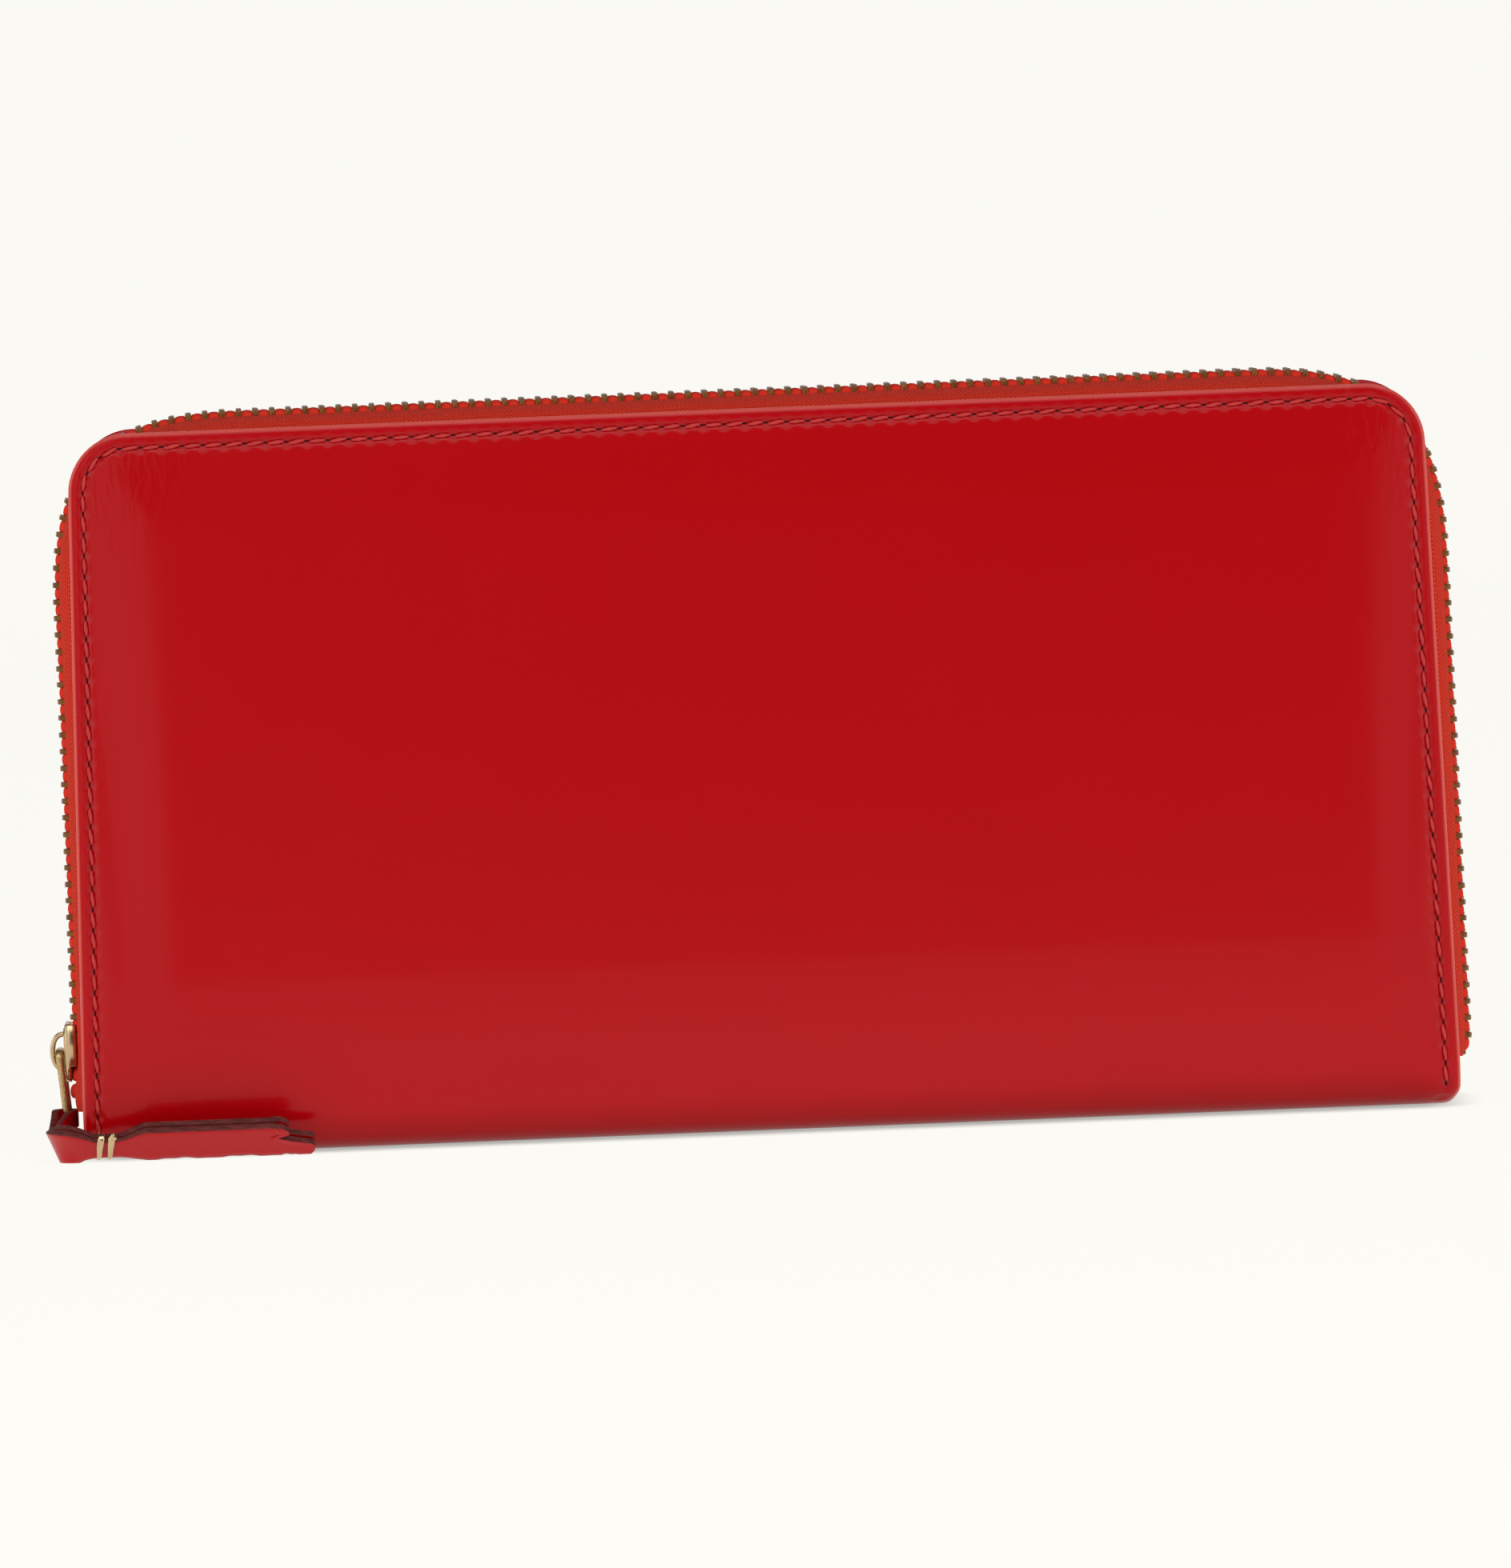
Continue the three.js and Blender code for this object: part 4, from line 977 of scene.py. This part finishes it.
half_outline = [(2.5, 10.2), (3.2, 10.9), (3.6, 12.4), (3.6, 17.0), (3.0, 18.0), (1.6, 18.3), (0.5, 18.0)]
slider_outline = np.array(half_outline + [(-y, z) for y, z in half_outline[::-1]])
raised = (slider_outline - (0, 14.25)) * (0.74, 0.78) + (0, 14.25)
plates = []
shapes = [
    (-96.6, -95.8, slider_outline, 0.24),
    (-96.78, -96.5, raised, 0.1),
    (-93.4, -92.6, slider_outline, 0.24),
]
for x0, x1, outline, rounding in shapes:
    points, faces = plate(outline, x0, x1, rounding)
    plates.append((points[:, [2, 0, 1]], faces))
for y0, y1 in ((-3.6, -2.8), (2.8, 3.6)):
    plates.append(rounded_block((-96.5, y0 - 0.03, 12.3), (-95.0, y1 + 0.03, 18.1), 0.15))
    plates.append(rounded_block((-94.0, y0, 11.3), (-93.25, y1, 17.4), 0.15))
plates.append(rounded_block((-95.9, -0.25, 10.3), (-93.3, 0.25, 12.7), 0.08))
slider = build("slider_brass", *merge(*plates), [bright_brass], sharp=45)
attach(slider, "zip_slider")
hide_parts("slider_body")

# The bridge: a flat strip bent to a round loop and riveted to the outer plate; the ring hangs in it.
angle = np.linspace(math.pi, 0, 21)
line = np.stack([-96.35 - 2.08 * np.sin(angle) ** 0.6, 0 * angle, 14.25 + 2.45 * np.cos(angle)], 1)
across = np.tile((0.0, 1.0, 0.0), (len(line), 1))
points, faces = sweep(line, across, np.cross(headings(line), across), rounded_section(1.8, 0.68, 0.2))
feet = [rounded_block((-96.85, -1.15, z - 0.75), (-96.4, 1.15, z + 0.75), 0.15) for z in (11.75, 16.75)]
bridge = build("slider_loop", *merge((points, faces), *feet), [bright_brass], sharp=50)
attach(bridge, "zip_slider")
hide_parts("slider_bridge")

# ---------- pull ring ----------
# A flat rectangular ring of cast brass with a sandy antique finish; its foot leans towards the wallet.
ring_brass, tree, shader = new_finish("sandy antique brass", {"Metallic": 1.0, "Roughness": 0.34})
# Grainy casting skin with darker pits.
place = put(tree, "ShaderNodeTexCoord").outputs["Object"]
grit = mottle(tree, shader, place, 0.5, "a08154", "dcc08c", detail=6.0)[0]
pits = put(tree, "ShaderNodeTexVoronoi", {"Vector": place, "Scale": 1000 / 0.28})
relief(tree, shader, [(pits.outputs["Distance"], 0.05), (grit, 0.04)])

corner = 0.7
path = []
for cy, cz, start in ((2.95, 14.15, 0), (-2.95, 14.15, 90), (-2.95, 3.1, 180), (2.95, 3.1, 270)):
    for degrees in np.linspace(start, start + 90, 6):
        turn = math.radians(degrees)
        y = cy - math.copysign(corner, cy) + corner * math.cos(turn)
        z = cz - math.copysign(corner, cz - 9) + corner * math.sin(turn)
        path.append((0, y, z))
dense = []
for a, b in zip(path, path[1:] + path[:1]):
    steps = max(1, round(math.dist(a, b) / 0.8))
    dense += [tuple(np.add(a, np.multiply(i / steps, np.subtract(b, a)))) for i in range(steps)]
line = np.array(dense)
along = np.roll(line, -1, 0) - np.roll(line, 1, 0)
along /= np.linalg.norm(along, axis=1, keepdims=True)
sideways = np.tile((1.0, 0.0, 0.0), (len(line), 1))
points, faces = sweep(line, np.cross(along, sideways), sideways, rounded_section(1.1, 1.0, 0.28), closed=True)
points[:, 0] += -97.45 + 0.085 * (14.25 - points[:, 2])
ring = build("ring_brass", points, faces, [ring_brass], sharp=50)
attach(ring, "pull_ring")
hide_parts("pull_ring")

# ---------- leather pull ----------
# One strip of the hide leather, folded round the ring's front leg with its halves laid together.
# It bends round the wallet's edge, twists so that its raw upper edges show, and ends in a swallow tail.
burgundy_edge, tree, shader = new_finish("raw strap edge", {"Roughness": 0.7, "Specular IOR Level": 0.3})
# Two fibrous dark burgundy layers with pale ends of fibres.
place = put(tree, "ShaderNodeTexCoord").outputs["Object"]
strands = put(tree, "ShaderNodeMapping", {"Vector": place, "Scale": (500, 2500, 2500)})
inputs = {"Vector": strands.outputs[0], "Scale": 1.0, "Detail": 5.0, "Roughness": 0.7}
fibres = put(tree, "ShaderNodeTexNoise", inputs).outputs["Fac"]
tint(tree, shader, span(tree, fibres, 0.3, 0.72), linear("35080b"), linear("7d342f"))
relief(tree, shader, [(fibres, 0.25)])

tail_x = -60.0
tail_y = -16.8
tail = np.stack([np.linspace(tail_x, -93.75, 68), np.full(68, tail_y)], 1)
tail[:, 1] += 0.22 * np.sin((tail[:, 0] - tail_x) / 5.5)
bend_turn = np.linspace(1.5 * math.pi, math.pi, 15)[1:]
bend = np.stack([-93.75 + 3.7 * np.cos(bend_turn), tail_y + 3.7 + 3.7 * np.sin(bend_turn)], 1)
reach_back = np.stack([np.linspace(-97.45, -96.9, 15), np.linspace(tail_y + 3.7, -4.2, 15)], 1)[1:]
middle = np.concatenate([tail, bend, reach_back])
travel = np.concatenate([[0], np.cumsum(np.hypot(*np.diff(middle, axis=0).T))])
along = headings(middle)
away = np.stack([-along[:, 1], along[:, 0]], 1)
whole = travel[-1]


def strap_pose(q, sign=0):
    """Half gap between the halves, mid height, half height and lean, at a distance from the tail's end."""
    waist = smooth(q, 25.0, 29.6) * (1 - smooth(q, 32.0, 35.6))
    neck = smooth(q, whole - 3.4, whole - 0.4) if sign > 0 else smooth(q, whole - 8, whole - 2.5)
    gap = 0.5 + 0.85 * smooth(q, whole - 5.5, whole) - 0.12 * waist + 0.12 * (1 - smooth(q, 0, 9))
    half_height = 3.1 - 1.3 * waist - 0.7 * smooth(q, 34, 40) - 1.2 * neck
    middle_height = 2.75 - 0.45 * waist - 0.35 * smooth(q, 34, 40) + 2.9 * neck
    lean = math.radians(48 - 26 * smooth(q, 34, 40)) * (1 - neck)
    return gap, middle_height, half_height, lean


def on_strap(q, across, height, sign=0):
    """Place of a point of the strap: a distance across its thickness and a height from its middle."""
    spot = [np.interp(q, travel, middle[:, i]) for i in range(2)]
    face = [np.interp(q, travel, away[:, i]) for i in range(2)]
    middle_height, lean = strap_pose(q, sign)[1], strap_pose(q, sign)[3]
    shift = across * math.cos(lean) + height * math.sin(lean)
    rise = height * math.cos(lean) - across * math.sin(lean)
    return (spot[0] + shift * face[0], spot[1] + shift * face[1], middle_height + rise)


levels = np.linspace(-0.93, 0.93, 9)
layer = [(1.0, h) for h in levels] + [(0.75, 1.0), (0.0, 1.02), (-0.75, 1.0)]
layer += [(-1.0, h) for h in levels[::-1]] + [(-0.75, -1.0), (0.0, -1.02), (0.75, -1.0)]
stations = np.concatenate([np.linspace(0, 9, 19), np.linspace(9, whole, 96)[1:]])
rings = []
for sign in (1, -1):
    side_rings = []
    for q in stations:
        gap, middle_height, half_height, lean = strap_pose(q, sign)
        thick = 0.45 - 0.08 * smooth(q, 25.5, 29.3) * (1 - smooth(q, 32.6, 35.4))
        ring_points = []
        for t, h in layer:
            upper = 3.4 + 1.3 * ((h - 0.5) / 0.5) ** 2 if h > 0.05 else 0
            lower = 0.9 * ((h + 0.5) / 0.5) ** 2 if h < 0.05 else 0
            notch = 3.0 * math.exp(-(((h - 0.08) / 0.16) ** 2))
            cut = 2.4 + upper + lower + notch
            pulled_q = q + cut * (1 - smooth(q, 0, 9))
            ruffle = 0.16 * math.sin(0.75 * q + 1.5 * sign) + 0.08 * math.sin(2.1 * q)
            height = half_height * h + ruffle * min(0, h) * (1 - smooth(q, 24, 30))
            ring_points.append(on_strap(pulled_q, sign * gap + sign * thick * t, height, sign))
        side_rings.append(ring_points)
    rings.append(side_rings)
eye = (-96.9, -2.95)
gap, middle_height, half_height, lean = strap_pose(whole, 1)
turn_rings = []
for turn in np.linspace(math.pi, 0, 13):
    ring_points = []
    for t, h in layer:
        radius = gap + 0.45 * t
        x = eye[0] + radius * math.cos(turn)
        y = eye[1] + radius * math.sin(turn)
        ring_points.append((x, y, middle_height + half_height * h))
    turn_rings.append(ring_points)
strip = np.array(rings[0] + turn_rings + rings[1][::-1])
rows, count = strip.shape[:2]
table, faces = tube(rows, count)
is_edge = np.array([abs(layer[i][1] + layer[(i + 1) % count][1]) / 2 > 0.95 for i in range(count)])
slots = np.tile(is_edge.astype(int), rows - 1)
faces = faces.tolist()
slots = slots.tolist()
face_count = len(levels)
for end in (0, -1):
    for i in range(face_count - 1):
        j = face_count + 3 + (face_count - 1 - i)
        quad = [int(table[end, i]), int(table[end, i + 1]), int(table[end, j - 1]), int(table[end, j])]
        faces.append(quad)
        slots.append(1)
    top = [int(table[end, i]) for i in range(face_count - 1, face_count + 4)]
    foot = [int(table[end, i]) for i in range(count - 4, count)] + [int(table[end, 0])]
    faces += [top, foot]
    slots += [1, 1]
strap = build("leather_strap", strip.reshape(-1, 3), faces, [red_leather, burgundy_edge], slots, sharp=50)
strap.data.uv_layers.new(name="UVMap")
strap.data.uv_layers["UVMap"].data.foreach_set("uv", np.tile((0.5, 40.0), len(strap.data.loops)))
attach(strap, "leather_pull")
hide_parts("pull_tab")

# ---------- binding ----------
# Flat brass wire wound twice round the strap's waist, its end rolled to a small curl on the upper edge.
turns = np.linspace(-0.62 * math.pi, 2.5 * math.pi, 120)
wire_points = []
widths = []
for i, turn in enumerate(turns):
    share = i / (len(turns) - 1)
    q = 32.3 - 2.3 * share
    across = 1.08 * np.sign(math.cos(turn)) * abs(math.cos(turn)) ** 0.75
    height = 2.12 * np.sign(math.sin(turn)) * abs(math.sin(turn)) ** 0.75
    wire_points.append(on_strap(q, across, height))
    widths.append(0.62 + 0.36 * math.sin(turn + 0.5) * min(1, 5 * share))
line = np.array(wire_points)
along = headings(line)
centres = np.array([on_strap(32.3 - 2.3 * i / 119, 0, 0) for i in range(120)])
outward = line - centres
outward -= along * (outward * along).sum(1, keepdims=True)
outward /= np.linalg.norm(outward, axis=1, keepdims=True)
sideways = np.cross(outward, along)
flat = rounded_section(1.0, 0.46, 0.2)
section = np.stack([flat * (width, 1.0) for width in widths])
points, faces = sweep(line, sideways, outward, section)
curl_line = []
for t in np.linspace(0, 1, 22):
    turn = 2.5 * math.pi + 4.4 * t
    spin_radius = 0.42 * (1 - 0.6 * t)
    centre = line[-1] + 0.2 * outward[-1] + (0.3, 0, -0.3)
    curl_line.append(centre + spin_radius * np.array((math.cos(turn), 0, math.sin(turn))))
curl_line = np.array(curl_line)
face_axis = np.tile((0.0, 1.0, 0.0), (len(curl_line), 1))
curl = sweep(curl_line, face_axis, np.cross(headings(curl_line), face_axis), rounded_section(0.9, 0.42, 0.18))
binding = build("binding_wire", *merge((points, faces), curl), [bright_brass], sharp=60)
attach(binding, "leather_pull")
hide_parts("pull_binding")

# ---------- coin pocket zip ----------
# A short fine zip between the coin pocket's walls: corded tapes, small brass teeth, slider and flat pull.
for word, side in (("front", -1), ("back", 1)):
    node = f"coin_zip_{word}_tape"
    low, high = box_mm(node)
    cloth = soft_panel(f"{node}_cloth", node, 0.5, [zip_tape], round_edge=0.25, wave=0.03)
    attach(cloth, "spine")
    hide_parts(node)
    x = np.linspace(low[0] + 0.4, high[0] - 0.4, 60)
    cord_y = side * 1.72
    line = np.stack([x, np.full(60, cord_y), np.full(60, high[2] + 0.35)], 1)
    points, faces = sweep(line, np.tile((0, 1, 0), (60, 1)), np.tile((0, 0, 1), (60, 1)), circle(8, 0.42))
    cord = build(f"coin_{word}_cord", points, faces, [zip_tape], uv=points[:, [0, 1]])
    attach(cord, "spine")
    node = f"coin_zip_{word}_teeth"
    low, high = box_mm(node)
    if side < 0:
        points, faces = plate(np.array(tooth_outline) * 0.6, -0.3, 0.3, 0.08)
        small_tooth = build("small_tooth_part", points[:, [2, 0, 1]], faces, [antique_brass], sharp=45)
    length = tooth_pitch * math.floor((high[0] - low[0] - 1.1) / tooth_pitch)
    line = np.linspace((low[0] + 0.55, 0, 85.35), (low[0] + 0.55 + length, 0, 85.35), 40)
    if side > 0:
        line = line[::-1]
    lines = [(line, (0, 0, 1))]
    row = repeat(f"coin_{word}_row", lines, small_tooth, tooth_pitch, antique_brass, wobble=1.5, seed=61)
    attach(row, "spine")
    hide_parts(node)

half_outline = [(-79.4, 1.5), (-78.0, 2.3), (-74.5, 2.3), (-72.9, 1.9), (-72.5, 0.9)]
outline = np.array(half_outline[::-1] + [(x, -y) for x, y in half_outline])[::-1]
plates = [plate(outline, 86.6, 87.3, 0.2)]
lower_outline = [(-79.4, -1.0), (-78.9, -1.4), (-73.0, -1.4), (-72.5, -1.0)]
lower_outline += [(x, -y) for x, y in lower_outline[::-1]]
plates.append(plate(lower_outline, 83.55, 84.15, 0.18))
plates.append(rounded_block((-79.35, -0.25, 84.0), (-77.5, 0.25, 86.8), 0.08))
coin_slider = build("coin_slider_brass", *merge(*plates), [bright_brass], sharp=45)
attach(coin_slider, "coin_zip_slider")
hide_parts("coin_slider_body")

angle = np.linspace(math.pi, 0, 17)
line = np.stack([-75.95 + 1.9 * np.cos(angle), 0 * angle, 87.2 + 2.1 * np.sin(angle) ** 0.6], 1)
across = np.tile((0.0, 1.0, 0.0), (len(line), 1))
points, faces = sweep(line, across, np.cross(headings(line), across), rounded_section(1.2, 0.55, 0.16))
coin_bridge = build("coin_slider_loop", points, faces, [bright_brass], sharp=50)
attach(coin_bridge, "coin_zip_slider")
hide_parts("coin_slider_bridge")

loop = []
for cx, cy, start in ((-73.1, 1.35, 0), (-75.95, 1.35, 90), (-75.95, -1.35, 180), (-73.1, -1.35, 270)):
    for degrees in np.linspace(start, start + 90, 4):
        turn = math.radians(degrees)
        loop.append((cx + 0.3 * math.cos(turn), cy - math.copysign(0.3, cy) + 0.3 * math.sin(turn), 88.05))
line = np.array(loop)
along = np.roll(line, -1, 0) - np.roll(line, 1, 0)
along /= np.linalg.norm(along, axis=1, keepdims=True)
upward = np.tile((0.0, 0.0, 1.0), (len(line), 1))
frame_part = sweep(line, np.cross(along, upward), upward, rounded_section(0.7, 0.72, 0.2), closed=True)
tongue_top = [(-66.9 - 0.6 * (1 - math.cos(t)), 1.35 * math.sin(t)) for t in np.linspace(-1.4, 1.4, 7)]
tongue = plate([(-73.3, -1.7), (-70.0, -1.6)] + tongue_top + [(-70.0, 1.6), (-73.3, 1.7)], 87.69, 88.41, 0.2)
coin_pull = build("coin_pull_brass", *merge(frame_part, tongue), [bright_brass], sharp=45)
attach(coin_pull, "coin_zip_pull")
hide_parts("coin_pull")

# The small parts that were set along lines are not pieces themselves.
for part in (stitch_part, hole_part, small_stitch, tooth_part, bead_part, small_tooth):
    bpy.data.objects.remove(part)

# ---------- floor and backdrop ----------
# One pale sweep of paper: the floor ends shortly in front of the wallet's reach and rises behind it.
paper, tree, shader = new_finish("pale paper sweep", {"Roughness": 0.95, "Specular IOR Level": 0.0})
# Nearly white and partly self-lit, so its real shadows stay faint; the thin contact shadow is mostly painted.
place = put(tree, "ShaderNodeTexCoord").outputs["Object"]
mottle(tree, shader, place, 40, "4e4d4b", "4f4e4c")
shader.inputs["Emission Color"].default_value = linear("fbfaf5")
# Painted contact shadow: the glow drops to under half within 10 mm of the wallet's footprint.
away = put(tree, "ShaderNodeVectorMath", {0: place}, operation="ABSOLUTE").outputs[0]
for operation, amount in (("SUBTRACT", (0.088, 0.008, 0.0)), ("MAXIMUM", (0.0, 0.0, 0.0))):
    away = put(tree, "ShaderNodeVectorMath", {0: away, 1: amount}, operation=operation).outputs[0]
distance = put(tree, "ShaderNodeVectorMath", {0: away}, operation="LENGTH").outputs["Value"]
glow_with_painted_shadow = span(tree, distance, 0.0, 0.01, 0.45, 0.96, "SMOOTHSTEP")
# The glow also fades out towards the floor's front edge, so the leather reflects less of it.
split = put(tree, "ShaderNodeSeparateXYZ", {0: place})
front_fade = span(tree, split.outputs["Y"], -0.95, -0.58, kind="SMOOTHSTEP")
lit = calc(tree, "MULTIPLY", glow_with_painted_shadow, front_fade)
tree.links.new(lit, shader.inputs["Emission Strength"])

profile = [(-950.0, 0.0), (-300.0, 0.0), (0.0, 0.0), (400.0, 0.0), (2500.0, 0.0)]
profile += [(2500 + 500 * math.sin(t), 500 * (1 - math.cos(t))) for t in np.linspace(0.1, math.pi / 2, 14)]
profile += [(3000.0, 1200.0), (3000.0, 2600.0)]
points = [(x, y, z - 0.02) for y, z in profile for x in (-2600.0, 2600.0)]
faces = [[2 * i, 2 * i + 1, 2 * i + 3, 2 * i + 2] for i in range(len(profile) - 1)]
mesh = bpy.data.meshes.new("paper_sweep")
mesh.from_pydata((np.array(points) / 1000).tolist(), [], faces)
mesh.materials.append(paper)
mesh.shade_smooth()
sweep_object = bpy.data.objects.new("paper_sweep", mesh)
bpy.context.scene.collection.objects.link(sweep_object)

# ---------- light ----------
# A large soft light above and in front, a strip on either side, and almost no light from the camera's side.


def softbox(name, place, target, size, power):
    lamp = bpy.data.lights.new(name, "AREA")
    lamp.shape = "RECTANGLE"
    lamp.size, lamp.size_y = size
    lamp.energy = power
    made = bpy.data.objects.new(name, lamp)
    made.location = place
    made.rotation_euler = (Vector(target) - Vector(place)).to_track_quat("-Z", "Y").to_euler()
    bpy.context.scene.collection.objects.link(made)


softbox("overhead", (0, -1.1, 1.35), (0, 0, 0.05), (1.5, 1.1), 12.5)
softbox("left side", (-1.2, -0.55, 0.35), (0, 0, 0.05), (1.1, 0.9), 6)
softbox("right side", (1.2, -0.55, 0.35), (0, 0, 0.05), (1.1, 0.9), 6)
softbox("left strip", (-0.48, -1.25, 0.3), (0, 0, 0.05), (0.55, 1.0), 1.7)
softbox("right strip", (0.56, -1.2, 0.3), (0, 0, 0.05), (0.4, 1.0), 1.0)
world = bpy.data.worlds.new("studio")
world.use_nodes = True
world.node_tree.nodes["Background"].inputs[0].default_value = (1, 1, 1, 1)
world.node_tree.nodes["Background"].inputs[1].default_value = 0.04
bpy.context.scene.world = world

# ---------- camera ----------
# A long lens a little above the wallet's middle, turned slightly about its own line of sight.
elevation = math.radians(3)
roll = math.radians(-2.31)
back = Vector((0, -math.cos(elevation), math.sin(elevation)))
right = Vector((0, 0, 1)).cross(back).normalized()
up = back.cross(right)
image_right = right * math.cos(roll) + up * math.sin(roll)
image_up = up * math.cos(roll) - right * math.sin(roll)
lens = bpy.data.cameras.new("camera")
lens.sensor_fit = "HORIZONTAL"
lens.sensor_width = 36
lens.lens = 349.35
lens.clip_start = 0.1
lens.clip_end = 20
camera = bpy.data.objects.new("camera", lens)
bpy.context.scene.collection.objects.link(camera)
turn = Matrix((image_right, image_up, back)).transposed()
camera.matrix_world = Matrix.Translation(Vector((-0.000523, -0.012, 0.0478)) + back * 2.0) @ turn.to_4x4()
bpy.context.scene.camera = camera
